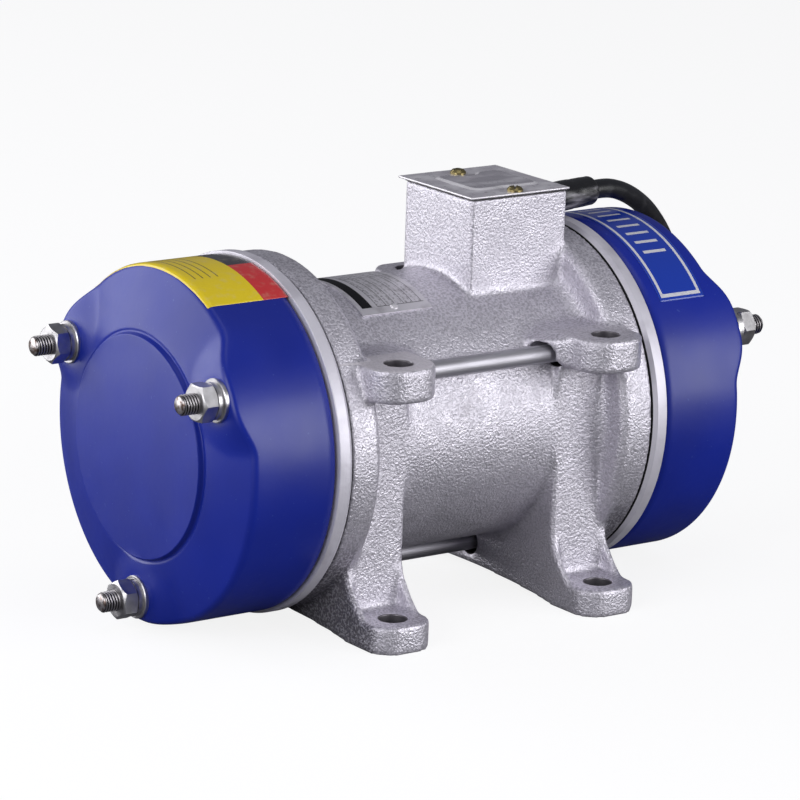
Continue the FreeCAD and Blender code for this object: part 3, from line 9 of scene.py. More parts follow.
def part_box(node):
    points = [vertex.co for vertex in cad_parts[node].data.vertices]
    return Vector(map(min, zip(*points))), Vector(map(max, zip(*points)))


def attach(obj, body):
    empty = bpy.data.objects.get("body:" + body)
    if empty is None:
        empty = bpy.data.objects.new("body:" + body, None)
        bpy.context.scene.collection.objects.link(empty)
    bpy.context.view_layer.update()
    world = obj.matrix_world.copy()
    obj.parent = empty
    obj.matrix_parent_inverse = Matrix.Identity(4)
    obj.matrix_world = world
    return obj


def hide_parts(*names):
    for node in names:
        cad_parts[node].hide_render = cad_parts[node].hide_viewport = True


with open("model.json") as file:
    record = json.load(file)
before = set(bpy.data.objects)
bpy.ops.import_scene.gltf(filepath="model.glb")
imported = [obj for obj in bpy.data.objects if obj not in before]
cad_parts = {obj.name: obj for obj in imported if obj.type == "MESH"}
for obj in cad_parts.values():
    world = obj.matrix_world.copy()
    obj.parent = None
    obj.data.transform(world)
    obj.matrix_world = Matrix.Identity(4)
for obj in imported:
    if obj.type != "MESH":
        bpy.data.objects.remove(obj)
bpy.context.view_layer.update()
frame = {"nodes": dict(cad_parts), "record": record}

# External vibration motor.  Metres, X along the shaft, Z up, origin under the middle of the feet.

nodes = frame["nodes"]
mm = 0.001
axisHeight = sum(corner.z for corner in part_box("rotor_core")) / 2
xAxis = Vector((1, 0, 0))
rodCircle, rodAngles = 0.0745, (30, 150, 270)   # tie rods round the shaft, degrees from -Y up over the top
rodSpots = [(-rodCircle * math.cos(math.radians(angle)), rodCircle * math.sin(math.radians(angle)))
            for angle in rodAngles]             # y and z of each, from the shaft's axis
print("frame loaded:", len(nodes), "nodes, axis at", round(axisHeight / mm, 2), "mm")


def placeObject(name, data):
    made = bpy.data.objects.new(name, data)
    bpy.context.scene.collection.objects.link(made)
    return made


shot = {
    "lookAt": (0.00015, 0.0011, 0.09382),
    "azimuth": -36.188,   # degrees, 0 looks along +Y
    "elevation": 14.359,
    "roll": 1.987,
    "distance": 2.23307,
    "lens": 203.32,
    "sensor": 36,
    "clip": (0.1, 50),
}


def makeCamera(cfg):
    turn, rise = math.radians(cfg["azimuth"]), math.radians(cfg["elevation"])
    back = Vector((math.sin(turn) * math.cos(rise), -math.cos(turn) * math.cos(rise), math.sin(rise)))
    camera = placeObject("shotCamera", bpy.data.cameras.new("shotCamera"))
    camera.data.lens = cfg["lens"]
    camera.data.sensor_width = cfg["sensor"]
    camera.data.clip_start, camera.data.clip_end = cfg["clip"]
    camera.rotation_mode = "QUATERNION"
    camera.location = Vector(cfg["lookAt"]) + back * cfg["distance"]
    level = (-back).to_track_quat("-Z", "Y")
    camera.rotation_quaternion = level @ Quaternion((0, 0, 1), math.radians(cfg["roll"]))
    bpy.context.scene.camera = camera


makeCamera(shot)
print("camera made")


def finishPiece(piece, material, body="motor", replaced=()):
    piece.data.materials.clear()
    piece.data.materials.append(material)
    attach(piece, body)
    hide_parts(*replaced)
    return piece


def meshPiece(name, points, faces, smooth=True):
    mesh = bpy.data.meshes.new(name)
    mesh.from_pydata([tuple(p) for p in points], [], faces)
    mesh.validate()
    mesh.polygons.foreach_set("use_smooth", [smooth] * len(mesh.polygons))
    return placeObject(name, mesh)


def turnOutwards(piece):
    mesh = bmesh.new()
    mesh.from_mesh(piece.data)
    bmesh.ops.recalc_face_normals(mesh, faces=mesh.faces)
    mesh.to_mesh(piece.data)


# joins points that lie on one another, drops empty faces and closes the small gaps left
def mergePoints(piece, reach=0.000002):
    mesh = bmesh.new()
    mesh.from_mesh(piece.data)
    bmesh.ops.remove_doubles(mesh, verts=mesh.verts, dist=reach)
    bmesh.ops.dissolve_degenerate(mesh, edges=mesh.edges, dist=reach)
    bmesh.ops.holes_fill(mesh, edges=[edge for edge in mesh.edges if edge.is_boundary], sides=4)
    bmesh.ops.recalc_face_normals(mesh, faces=mesh.faces)
    mesh.to_mesh(piece.data)


def applyModifier(piece, kind, **settings):
    modifier = piece.modifiers.new(kind.lower(), kind)
    for name, value in settings.items():
        setattr(modifier, name, value)
    graph = bpy.context.evaluated_depsgraph_get()
    made = bpy.data.meshes.new_from_object(piece.evaluated_get(graph))
    piece.modifiers.clear()
    piece.data = made


# pressed sheet: the modelled face and this much behind it
def thicken(piece, sheet):
    shell = piece.modifiers.new("sheet", "SOLIDIFY")
    shell.thickness = sheet
    shell.offset = -1


def joinPieces(piece, others):
    with bpy.context.temp_override(active_object=piece, selected_editable_objects=[piece, *others]):
        bpy.ops.object.join()


def gridFaces(rows, columns, wrap):
    faces = []
    for row in range(rows - 1):
        for column in range(columns if wrap else columns - 1):
            a, b = row * columns + column, row * columns + (column + 1) % columns
            faces.append((a, b, b + columns, a + columns))
    return faces


# profile holds (along, radius) pairs
def lathe(name, profile, centre, way, turns=96, closed=False):
    across = way.orthogonal().normalized()
    third = way.cross(across)
    points = []
    for along, radius in profile:
        for step in range(turns):
            angle = 2 * math.pi * step / turns
            points.append(centre + way * along
                          + (across * math.cos(angle) + third * math.sin(angle)) * radius)
    faces = gridFaces(len(profile), turns, True)
    last = (len(profile) - 1) * turns
    if closed:
        for step in range(turns):
            ahead = (step + 1) % turns
            faces.append((last + step, last + ahead, ahead, step))
    else:
        faces.append(tuple(range(turns))[::-1])
        faces.append(tuple(range(last, last + turns)))
    piece = meshPiece(name, points, faces)
    turnOutwards(piece)
    return piece


# points of an arc of that size about (along, radius)
def roundCorner(along, radius, size, fromDegrees, toDegrees, steps=5):
    corner = []
    for step in range(steps + 1):
        angle = math.radians(fromDegrees + (toDegrees - fromDegrees) * step / steps)
        corner.append((along + size * math.cos(angle), radius + size * math.sin(angle)))
    return corner


def sharpen(piece, degrees=35):
    piece.data.set_sharp_from_angle(angle=math.radians(degrees))


def smoothStep(low, high, value):
    share = min(max((value - low) / (high - low), 0), 1)
    return share * share * (3 - 2 * share)


# nearest and farthest reach of a CAD piece from the middle, along the shaft
def spanOut(node):
    return sorted(abs(corner.x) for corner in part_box(node))


def plug(tree, socket, value):
    if isinstance(value, bpy.types.NodeSocket):
        tree.links.new(value, socket)
    else:
        socket.default_value = value


def addNode(tree, kind, settings=None, **inputs):
    made = tree.nodes.new("ShaderNode" + kind)
    for name, value in (settings or {}).items():
        setattr(made, name, value)
    for name, value in inputs.items():
        plug(tree, made.inputs[name], value)
    return made


def calc(tree, operation, *values):
    made = tree.nodes.new("ShaderNodeMath")
    made.operation = operation
    for socket, value in zip(made.inputs, values):
        plug(tree, socket, value)
    return made.outputs[0]


def spread(tree, value, low, high, outLow=0.0, outHigh=1.0):
    made = addNode(tree, "MapRange", {"interpolation_type": "SMOOTHSTEP"}, Value=value)
    for name, number in (("From Min", low), ("From Max", high), ("To Min", outLow), ("To Max", outHigh)):
        made.inputs[name].default_value = number
    return made.outputs[0]


def tint(tree, share, first, second):
    made = tree.nodes.new("ShaderNodeMix")
    made.data_type = "RGBA"
    plug(tree, made.inputs[0], share)
    for socket, colour in ((made.inputs[6], first), (made.inputs[7], second)):
        plug(tree, socket, (*colour, 1) if isinstance(colour, tuple) else colour)
    return made.outputs[2]


def places(tree, stretch=(1, 1, 1)):
    coords = addNode(tree, "TexCoord").outputs["Object"]
    if stretch == (1, 1, 1):
        return coords
    return addNode(tree, "Mapping", Vector=coords, Scale=stretch).outputs[0]


def axes(tree):
    return addNode(tree, "SeparateXYZ", Vector=places(tree)).outputs


# 1 where the surface faces straight up
def facingUp(tree):
    return addNode(tree, "SeparateXYZ", Vector=addNode(tree, "NewGeometry").outputs["Normal"]).outputs[2]


def noise(tree, coords, scale, detail=2.0, roughness=0.5):
    return addNode(tree, "TexNoise", Vector=coords, Scale=scale, Detail=detail,
                   Roughness=roughness).outputs[0]


# noise whose values from low to high become outLow to outHigh
def patchy(tree, coords, scale, detail, low, high, outLow=0.0, outHigh=1.0, roughness=0.5):
    return spread(tree, noise(tree, coords, scale, detail, roughness), low, high, outLow, outHigh)


def raised(tree, shader, height, distance):
    made = addNode(tree, "Bump", Height=height, Distance=distance, Strength=1.0)
    tree.links.new(made.outputs[0], shader.inputs["Normal"])


def startMaterial(name, colour, roughness, metallic=0.0, **more):
    material = bpy.data.materials.new(name)
    material.use_nodes = True
    tree = material.node_tree
    shader = tree.nodes["Principled BSDF"]
    shader.inputs["Base Color"].default_value = (*colour, 1)
    shader.inputs["Roughness"].default_value = roughness
    shader.inputs["Metallic"].default_value = metallic
    for socketName, value in more.items():
        shader.inputs[socketName.replace("_", " ")].default_value = value
    return material, tree, shader


def setLook(tree, shader, colour, rough=None):
    tree.links.new(colour, shader.inputs["Base Color"])
    if rough is not None:
        tree.links.new(rough, shader.inputs["Roughness"])


# (x, y, radius, height) of one foot hole and one lug hole
def mountHoles():
    holes = []
    for mount in frame["record"]["mounts"]:
        if mount["kind"] == "bolt_pattern":
            sizes = mount["dims"]
            holes.append((sizes["spacing_x_mm"] * mm / 2, sizes["spacing_y_mm"] * mm / 2,
                          sizes["hole_r_mm"] * mm, mount["pos_m"][2]))
    return holes


def inside(tree, value, low, high):
    above = calc(tree, "GREATER_THAN", value, low)
    return calc(tree, "MULTIPLY", above, calc(tree, "LESS_THAN", value, high))


def both(tree, *masks):
    total = masks[0]
    for mask in masks[1:]:
        total = calc(tree, "MULTIPLY", total, mask)
    return total


def distance(tree, first, firstMiddle, second, secondMiddle):
    across = calc(tree, "SUBTRACT", first, firstMiddle)
    along = calc(tree, "SUBTRACT", second, secondMiddle)
    total = calc(tree, "ADD", calc(tree, "MULTIPLY", across, across), calc(tree, "MULTIPLY", along, along))
    return calc(tree, "SQRT", total)


def within(tree, first, firstMiddle, second, secondMiddle, radius):
    return calc(tree, "LESS_THAN", distance(tree, first, firstMiddle, second, secondMiddle), radius)


casting = {
    "paint": (0.715, 0.69, 0.765),
    # painted shade between the grains
    "paintDark": (0.30, 0.285, 0.34),
    "grime": (0.26, 0.24, 0.27),
    "machined": (0.60, 0.565, 0.61),
    "bore": (0.17, 0.16, 0.18),      # painted shade inside the foot and lug holes
    "hollow": (0.055, 0.05, 0.055),  # painted shade where the tie rods go in
    # painted shade on the outer end walls
    "bareWall": (0.17, 0.16, 0.19),
    "roughness": (0.38, 0.50),
    "metallic": (0.72, 0.20),        # painted, milled
    "grainScale": 800.0,             # grains per metre, nearly
    "grainDepth": 0.00058,
    "fineScale": 2.3,                # times as many finer grains
    "fineShare": 0.28,
    "holeMargin": 0.0003,
    "footHoleTop": 0.05,
    "lugHoleFloor": 0.1,
    "recess": (0.0445, 0.0545),      # round the tie rods, from the middle
    "recessRadius": 0.0071,
    "milledMargin": 0.0005,
    "milledFrom": 0.064,             # lug tops lie farther out than this
    "milledLess": (-0.02, 0.02, 1.0, 0.35),   # from the left end to the right
    "dusty": (0.74, 0.50),           # grain height, unshaded and in full painted shade
    "dustFacing": (0.5, 0.85, 0.36, 0.62),    # steep and level, and the painted shade on each
    "wallOut": (0.0765, 0.0785),     # the painted shade on the end walls lies outside this
    "wallTop": (0.060, 0.035),       # and below this
}


def makeCastSilver(cfg):
    material, tree, shader = startMaterial("castSilver", cfg["paint"], 0.4, cfg["metallic"][0])
    coords = places(tree)
    x, y, z = axes(tree)
    farX, farY = calc(tree, "ABSOLUTE", x), calc(tree, "ABSOLUTE", y)
    big = noise(tree, coords, cfg["grainScale"], 2.0, 0.55)
    fine = noise(tree, coords, cfg["grainScale"] * cfg["fineScale"], 1.0)
    height = calc(tree, "ADD", big, calc(tree, "MULTIPLY", fine, cfg["fineShare"]))
    # milled tops of the lugs: little grain, greyer, more so at the left end
    (footX, footY, holeRadius, _), (lugX, lugY, _, lugTop) = mountHoles()
    nearTop = inside(tree, z, lugTop - cfg["milledMargin"], lugTop + cfg["milledMargin"])
    milled = both(tree, nearTop, calc(tree, "GREATER_THAN", farY, cfg["milledFrom"]),
                  spread(tree, x, *cfg["milledLess"]))
    # painted shade inside the foot and lug holes and where the tie rods enter the casting
    reach = holeRadius + cfg["holeMargin"]
    inFoot = both(tree, within(tree, farX, footX, farY, footY, reach),
                  calc(tree, "LESS_THAN", z, cfg["footHoleTop"]))
    inLug = both(tree, within(tree, farX, lugX, farY, lugY, reach),
                 calc(tree, "GREATER_THAN", z, cfg["lugHoleFloor"]))
    inHole = calc(tree, "MAXIMUM", inFoot, inLug)
    byRod = 0.0
    for rodY, rodUp in rodSpots:
        byRod = calc(tree, "MAXIMUM", byRod,
                     within(tree, y, rodY, z, axisHeight + rodUp, cfg["recessRadius"]))
    inRecess = both(tree, byRod, inside(tree, farX, *cfg["recess"]))
    smooth = calc(tree, "MAXIMUM", calc(tree, "MULTIPLY", milled, 0.55),
                  calc(tree, "MAXIMUM", inHole, inRecess))
    grain = calc(tree, "MULTIPLY", height, calc(tree, "SUBTRACT", 1.0, smooth))
    raised(tree, shader, grain, cfg["grainDepth"])
    # painted shade between the grains, most where the casting faces up
    dust = both(tree, spread(tree, height, *cfg["dusty"]), spread(tree, facingUp(tree), *cfg["dustFacing"]))
    colour = tint(tree, dust, cfg["paint"], cfg["paintDark"])
    pits = patchy(tree, coords, 420.0, 3.0, 0.66, 0.72, 0.0, 0.5, 0.7)
    stains = patchy(tree, coords, 38.0, 3.0, 0.62, 0.82, 0.0, 0.35, 0.6)
    # painted shade on the outer end walls above the feet, darkest between the grains
    bareWall = both(tree, spread(tree, farX, *cfg["wallOut"]), spread(tree, z, *cfg["wallTop"]),
                    spread(tree, big, 0.62, 0.46, 0.25, 0.85))
    # pits and stains are grime; the wall, hole and recess colours are painted shade
    for share, shade in ((pits, "grime"), (stains, "grime"), (bareWall, "bareWall"),
                         (calc(tree, "MULTIPLY", milled, 0.6), "machined"),
                         (inHole, "bore"), (inRecess, "hollow")):
        colour = tint(tree, share, colour, cfg[shade])
    setLook(tree, shader, colour, patchy(tree, coords, 90.0, 2.0, 0.3, 0.7, *cfg["roughness"]))
    tree.links.new(spread(tree, milled, 0.0, 1.0, *cfg["metallic"]), shader.inputs["Metallic"])
    return material


shieldPaint = {
    "paint": (0.72, 0.70, 0.78),
    "worn": (0.58, 0.56, 0.63),
    "joint": (0.02, 0.02, 0.022),    # painted shade in the gap against the casting
    "jointEnd": 0.0903,
    "grainDepth": 0.00012,
}


def makeShieldSilver(cfg):
    material, tree, shader = startMaterial("shieldSilver", cfg["paint"], 0.5, 0.4)
    coords = places(tree)
    turned = noise(tree, places(tree, (1, 0.02, 0.02)), 900.0)
    height = calc(tree, "ADD", noise(tree, coords, 350.0), calc(tree, "MULTIPLY", turned, 0.3))
    raised(tree, shader, height, cfg["grainDepth"])
    colour = tint(tree, patchy(tree, coords, 60.0, 3.0, 0.45, 0.75), cfg["paint"], cfg["worn"])
    # painted shade where the ring meets the casting
    inJointShade = calc(tree, "LESS_THAN", calc(tree, "ABSOLUTE", axes(tree)[0]), cfg["jointEnd"])
    setLook(tree, shader, tint(tree, inJointShade, colour, cfg["joint"]))
    return material


enamel = {
    "blue": (0.003, 0.018, 0.315),
    "deep": (0.002, 0.014, 0.255),
    "dust": (0.05, 0.09, 0.40),
    "roughness": (0.38, 0.46),
    "specular": 0.35,
    "coat": 0.25,
    "coatRoughness": 0.27,
    "peel": 0.00005,
}


def makeCapBlue(cfg):
    material, tree, shader = startMaterial("capBlue", cfg["blue"], 0.42, Specular_IOR_Level=cfg["specular"],
                                           Coat_Weight=cfg["coat"], Coat_Roughness=cfg["coatRoughness"])
    coords = places(tree)
    colour = tint(tree, patchy(tree, coords, 16.0, 2.0, 0.35, 0.7), cfg["blue"], cfg["deep"])
    colour = tint(tree, patchy(tree, coords, 520.0, 1.0, 0.74, 0.80, 0.0, 0.5), colour, cfg["dust"])
    setLook(tree, shader, colour, patchy(tree, coords, 45.0, 3.0, 0.3, 0.7, *cfg["roughness"]))
    waves = calc(tree, "MULTIPLY", noise(tree, coords, 30.0), 3.0)
    raised(tree, shader, calc(tree, "ADD", noise(tree, coords, 260.0, 1.0), waves), cfg["peel"])
    return material


# bare or plated metal with patches, fine lines and dull spots
def makeSteel(name, colour, dark, roughness, scale=300.0, bump=0.00004, stretch=(1, 1, 1)):
    material, tree, shader = startMaterial(name, colour, roughness, 1.0)
    coords = places(tree, stretch)
    patches = patchy(tree, coords, scale * 0.4, 3.0, 0.45, 0.75, roughness=0.6)
    rough = patchy(tree, coords, scale, 2.0, 0.3, 0.7, roughness * 0.8, roughness * 1.3)
    setLook(tree, shader, tint(tree, patches, colour, dark), rough)
    raised(tree, shader, noise(tree, coords, scale * 3), bump)
    return material


# rubber and plastic: matt grain and a little dust
def makeSoft(name, colour, dust, roughness, scale=500.0, bump=0.00005, amount=0.4, stretch=(1, 1, 1)):
    material, tree, shader = startMaterial(name, colour, roughness)
    coords = places(tree, stretch)
    dusty = patchy(tree, coords, scale * 0.25, 4.0, 0.48, 0.78, 0.0, amount, 0.65)
    rough = patchy(tree, coords, scale * 0.5, 2.0, 0.3, 0.7, roughness * 0.85, roughness * 1.2)
    setLook(tree, shader, tint(tree, dusty, colour, dust), rough)
    raised(tree, shader, noise(tree, coords, scale, 3.0), bump)
    return material


# thin stacked sheets along the shaft
def makeLaminated(name, colour, dark, sheet=0.0005):
    material, tree, shader = startMaterial(name, colour, 0.45, 1.0)
    sheets = calc(tree, "PINGPONG", axes(tree)[0], sheet)
    raised(tree, shader, calc(tree, "MULTIPLY", sheets, 1 / sheet), 0.00015)
    setLook(tree, shader, tint(tree, patchy(tree, places(tree), 80.0, 2.0, 0.4, 0.7), colour, dark))
    return material


# varnished copper wires wound round the coil heads
def makeWinding(colour, dark, bright):
    material, tree, shader = startMaterial("copperWinding", colour, 0.32, 0.8, Coat_Weight=0.6)
    wires = noise(tree, places(tree, (0.3, 1, 1)), 700.0, 1.0)
    raised(tree, shader, wires, 0.0005)
    setLook(tree, shader, tint(tree, spread(tree, wires, 0.35, 0.65), dark, bright))
    return material


# along the shaft, and degrees round it from -Y up over the top
def wrapPlaces(tree):
    x, y, z = axes(tree)
    up = calc(tree, "SUBTRACT", z, axisHeight)
    around = calc(tree, "ARCTAN2", up, calc(tree, "MULTIPLY", y, -1.0))
    return x, calc(tree, "MULTIPLY", around, 180 / math.pi)


def ruledLines(tree, value, start, pitch, thickness):
    return calc(tree, "LESS_THAN", calc(tree, "MODULO", calc(tree, "SUBTRACT", value, start), pitch),
                thickness)


plateLook = {
    "metal": (0.74, 0.72, 0.77),
    "dull": (0.44, 0.42, 0.46),
    "ink": (0.012, 0.012, 0.014),
    "line": (0.16, 0.15, 0.17),
    "around": (64.0, 116.0),         # degrees round the barrel
    "band": (0.0025, 0.0085),        # black band, from the left edge
    "field": (0.0115, 0.0022),       # ruled field, from the left and the right edge
    "rules": (0.0052, 0.00035),      # pitch and thickness
    "crossRules": (26.0, 0.35),      # the same in degrees
    "rows": (0.0014, 0.0026, 0.0011),   # start, pitch and thickness of the broken rows
}


def makePlate(cfg, low, high):
    material, tree, shader = startMaterial("plateAluminium", cfg["metal"], 0.46, 0.7)
    coords = places(tree)
    along, around = wrapPlaces(tree)
    across = inside(tree, around, *cfg["around"])
    band = both(tree, inside(tree, along, low.x + cfg["band"][0], low.x + cfg["band"][1]), across)
    start = low.x + cfg["field"][0]
    field = both(tree, inside(tree, along, start, high.x - cfg["field"][1]), across)
    rules = calc(tree, "MAXIMUM", ruledLines(tree, along, start, *cfg["rules"]),
                 ruledLines(tree, around, cfg["around"][0], *cfg["crossRules"]))
    rowStart, rowPitch, rowThickness = cfg["rows"]
    rows = both(tree, field, ruledLines(tree, along, start + rowStart, rowPitch, rowThickness),
                patchy(tree, places(tree, (0.6, 1, 1)), 1100.0, 1.0, 0.50, 0.56))
    colour = tint(tree, patchy(tree, coords, 120.0, 4.0, 0.5, 0.72, 0.0, 0.6), cfg["metal"], cfg["dull"])
    colour = tint(tree, calc(tree, "MULTIPLY", rows, 0.6), colour, cfg["line"])
    colour = tint(tree, both(tree, field, rules), colour, cfg["line"])
    setLook(tree, shader, tint(tree, band, colour, cfg["ink"]))
    tree.links.new(spread(tree, band, 0.0, 1.0, 0.7, 0.0), shader.inputs["Metallic"])
    tree.links.new(spread(tree, band, 0.0, 1.0, 0.5, 0.05), shader.inputs["Specular IOR Level"])
    raised(tree, shader, noise(tree, coords, 900.0), 0.00004)
    return material


# what both printed films share
def finishFilm(tree, shader, colour):
    setLook(tree, shader, colour)
    raised(tree, shader, noise(tree, places(tree), 400.0), 0.00003)


leftPrint = {
    "yellow": (0.82, 0.62, 0.01),
    "red": (0.60, 0.03, 0.035),
    "black": (0.04, 0.035, 0.045),
    "rule": (0.20, 0.15, 0.03),
    "faded": (0.6, 0.55, 0.4),
    "rulesAlong": (-0.139, -0.121),
    "rulesAround": (76.0, 124.0),
    "rules": (-0.15, 0.0042, 0.0007),   # start, pitch and thickness
    "strip": (-0.1125, -0.09),       # beside the end shield
    "redAround": (60.0, 83.0),
    "blackAround": (83.0, 140.0),
}


# plain colour fields with a few ruled lines
def makeLeftPrint(cfg):
    material, tree, shader = startMaterial("labelYellow", cfg["yellow"], 0.33, Coat_Weight=0.3)
    along, around = wrapPlaces(tree)
    rules = both(tree, inside(tree, along, *cfg["rulesAlong"]), inside(tree, around, *cfg["rulesAround"]),
                 ruledLines(tree, along, *cfg["rules"]))
    colour = tint(tree, rules, cfg["yellow"], cfg["rule"])
    strip = inside(tree, along, *cfg["strip"])
    for shade in ("red", "black"):
        field = both(tree, strip, inside(tree, around, *cfg[shade + "Around"]))
        colour = tint(tree, field, colour, cfg[shade])
    colour = tint(tree, patchy(tree, places(tree), 200.0, 3.0, 0.5, 0.8, 0.0, 0.25), colour, cfg["faded"])
    finishFilm(tree, shader, colour)
    return material


rightPrint = {
    "blue": (0.006, 0.04, 0.40),
    "white": (0.68, 0.68, 0.72),
    "inset": 0.0016,                 # of the frame from the label's edge
    "line": 0.0016,
    "outerAround": (41.5, 118.5),
    "innerAround": (42.8, 117.2),
    "barInset": 0.007,
    "barsAround": (60.0, 112.0),
    "bars": (60.0, 5.2, 1.3),        # start, pitch and thickness in degrees
}


# blue film with a white frame and plain white bars
def makeRightPrint(cfg, low, high):
    material, tree, shader = startMaterial("labelBlue", cfg["blue"], 0.33, Coat_Weight=0.3)
    along, around = wrapPlaces(tree)

    def field(inset, degrees):
        return both(tree, inside(tree, along, low.x + inset, high.x - inset),
                    inside(tree, around, *cfg[degrees]))

    border = calc(tree, "SUBTRACT", field(cfg["inset"], "outerAround"),
                  field(cfg["inset"] + cfg["line"], "innerAround"))
    bars = both(tree, field(cfg["barInset"], "barsAround"), ruledLines(tree, around, *cfg["bars"]))
    worn = patchy(tree, places(tree), 260.0, 3.0, 0.55, 0.8, 1.0, 0.6)
    white = both(tree, calc(tree, "MAXIMUM", border, bars), worn)
    finishFilm(tree, shader, tint(tree, white, cfg["blue"], cfg["white"]))
    return material


coverLook = {
    "paint": (0.62, 0.59, 0.65),
    "bare": (0.80, 0.78, 0.83),
    # painted highlight on the raised field's slopes
    "fold": (0.97, 0.95, 0.99),
    "field": (0.42, 0.40, 0.45),
    "fieldX": ((0.027, 0.031), (0.069, 0.066)),   # from its edge inwards, at both ends
    "fieldY": ((-0.018, -0.014), (0.019, 0.016)),
    "roughness": (0.24, 0.42),
    "dents": 0.00012,
}


def makeCoverGrey(cfg):
    material, tree, shader = startMaterial("coverGrey", cfg["paint"], 0.34, 0.4)
    coords = places(tree)
    x, y, _ = axes(tree)
    colour = tint(tree, patchy(tree, coords, 70.0, 4.0, 0.42, 0.66, roughness=0.6), cfg["paint"], cfg["bare"])
    onField = both(tree, *(spread(tree, x, *edge) for edge in cfg["fieldX"]),
                   *(spread(tree, y, *edge) for edge in cfg["fieldY"]))
    streaks = patchy(tree, places(tree, (0.5, 1.6, 1)), 60.0, 2.0, 0.35, 0.6, 0.25, 0.9)
    colour = tint(tree, both(tree, onField, streaks), colour, cfg["field"])
    slopeHighlights = inside(tree, facingUp(tree), 0.3, 0.985)     # painted highlight on the slopes of the raised field
    colour = tint(tree, calc(tree, "MULTIPLY", slopeHighlights, 0.85), colour, cfg["fold"])
    setLook(tree, shader, colour, patchy(tree, coords, 140.0, 3.0, 0.3, 0.7, *cfg["roughness"]))
    raised(tree, shader, noise(tree, coords, 240.0, 3.0), cfg["dents"])
    return material


threadSteel = {
    "bright": (0.56, 0.55, 0.60),
    "dull": (0.44, 0.43, 0.47),
    "crest": (0.46, 0.44, 0.46),
    # painted shade in the thread's roots, fading out towards the crests
    "root": (0.02, 0.018, 0.02),
    "cut": (0.52, 0.49, 0.50),
    "rust": (0.17, 0.115, 0.095),
    "roughness": (0.54, 0.36),       # shank, thread
    "threadEdge": (0.040, 0.037),    # from the rod's end
    "cutEdge": (0.0008, 0.0002),
    "rootToCrest": (0.00442, 0.00492),
}


# bright shank, oiled thread with painted shade in its roots, a rusty cut end
def makeThreadSteel(cfg):
    material, tree, shader = startMaterial("rodSteel", cfg["bright"], 0.52, 1.0)
    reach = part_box("tie_rods")[1].x
    x, y, z = axes(tree)
    far = calc(tree, "ABSOLUTE", x)
    threaded, onEnd = (spread(tree, far, reach - cfg[edge][0], reach - cfg[edge][1])
                       for edge in ("threadEdge", "cutEdge"))
    shank = tint(tree, patchy(tree, places(tree, (0.05, 1, 1)), 900.0, 2.0, 0.3, 0.7),
                 cfg["bright"], cfg["dull"])
    nearest = 1.0
    for rodY, rodUp in rodSpots:
        nearest = calc(tree, "MINIMUM", nearest, distance(tree, y, rodY, z, axisHeight + rodUp))
    # painted shade deepening towards the thread's roots
    thread = tint(tree, spread(tree, nearest, *cfg["rootToCrest"]), cfg["root"], cfg["crest"])
    spots = noise(tree, places(tree), 330.0, 3.0)
    endColour = tint(tree, spread(tree, spots, 0.46, 0.66), cfg["cut"], cfg["rust"])
    colour = tint(tree, onEnd, tint(tree, threaded, shank, thread), endColour)
    setLook(tree, shader, colour, spread(tree, threaded, 0.0, 1.0, *cfg["roughness"]))
    raised(tree, shader, spots, 0.00003)
    return material


finishes = {
    "cast_silver": makeCastSilver(casting),
    "shield_silver": makeShieldSilver(shieldPaint),
    "cap_blue": makeCapBlue(enamel),
    "zinc_steel": makeSteel("zincSteel", (0.56, 0.55, 0.57), (0.42, 0.41, 0.42), 0.36, 260.0, 0.00001),
    "rod_steel": makeThreadSteel(threadSteel),
    "shaft_steel": makeSteel("shaftSteel", (0.50, 0.50, 0.52), (0.36, 0.35, 0.36), 0.22,
                             stretch=(1, 0.1, 0.1)),
    "core_steel": makeLaminated("coreSteel", (0.24, 0.24, 0.26), (0.10, 0.09, 0.09)),
    "copper_winding": makeWinding((0.45, 0.15, 0.05), (0.22, 0.06, 0.02), (0.55, 0.21, 0.07)),
    "cage_aluminium": makeSteel("cageAluminium", (0.62, 0.62, 0.64), (0.45, 0.45, 0.46), 0.42, 200.0, 0.0001),
    "bearing_steel": makeSteel("bearingSteel", (0.62, 0.62, 0.64), (0.50, 0.50, 0.52), 0.12, 300.0, 0.00001),
    "ball_cage_steel": makeSteel("ballCageSteel", (0.40, 0.40, 0.41), (0.28, 0.27, 0.28), 0.3, 400.0),
    "weight_iron": makeSteel("weightIron", (0.13, 0.13, 0.14), (0.07, 0.06, 0.06), 0.42, 180.0, 0.0002),
    "black_rubber": makeSoft("blackRubber", (0.011, 0.011, 0.013), (0.50, 0.48, 0.53), 0.30, 420.0, 0.00010,
                             0.85, (0.2, 1, 1)),
    "cable_jacket": makeSoft("cableJacket", (0.010, 0.010, 0.013), (0.07, 0.07, 0.08), 0.33, 600.0, 0.00004,
                             0.35),
    "cover_grey": makeCoverGrey(coverLook),
    "gasket_rubber": makeSoft("gasketRubber", (0.03, 0.03, 0.03), (0.10, 0.10, 0.10), 0.7),
    "yellow_zinc": makeSteel("yellowZinc", (0.40, 0.33, 0.15), (0.22, 0.17, 0.09), 0.30, 260.0, 0.00001),
    "terminal_plastic": makeSoft("terminalPlastic", (0.03, 0.018, 0.012), (0.08, 0.06, 0.05), 0.35),
    "terminal_brass": makeSteel("terminalBrass", (0.62, 0.44, 0.16), (0.42, 0.27, 0.09), 0.22),
    "core_insulation": makeSoft("coreInsulation", (0.10, 0.035, 0.015), (0.18, 0.10, 0.06), 0.38, 500.0,
                                0.00003, 0.3),
    "lead_insulation": makeSoft("leadInsulation", (0.42, 0.36, 0.20), (0.30, 0.24, 0.12), 0.5, 900.0,
                                0.0001, 0.5),
    "plate_aluminium": makePlate(plateLook, *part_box("nameplate")),
    "label_print": makeLeftPrint(leftPrint),
    "label_blue": makeRightPrint(rightPrint, *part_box("right_cap_label")),
}
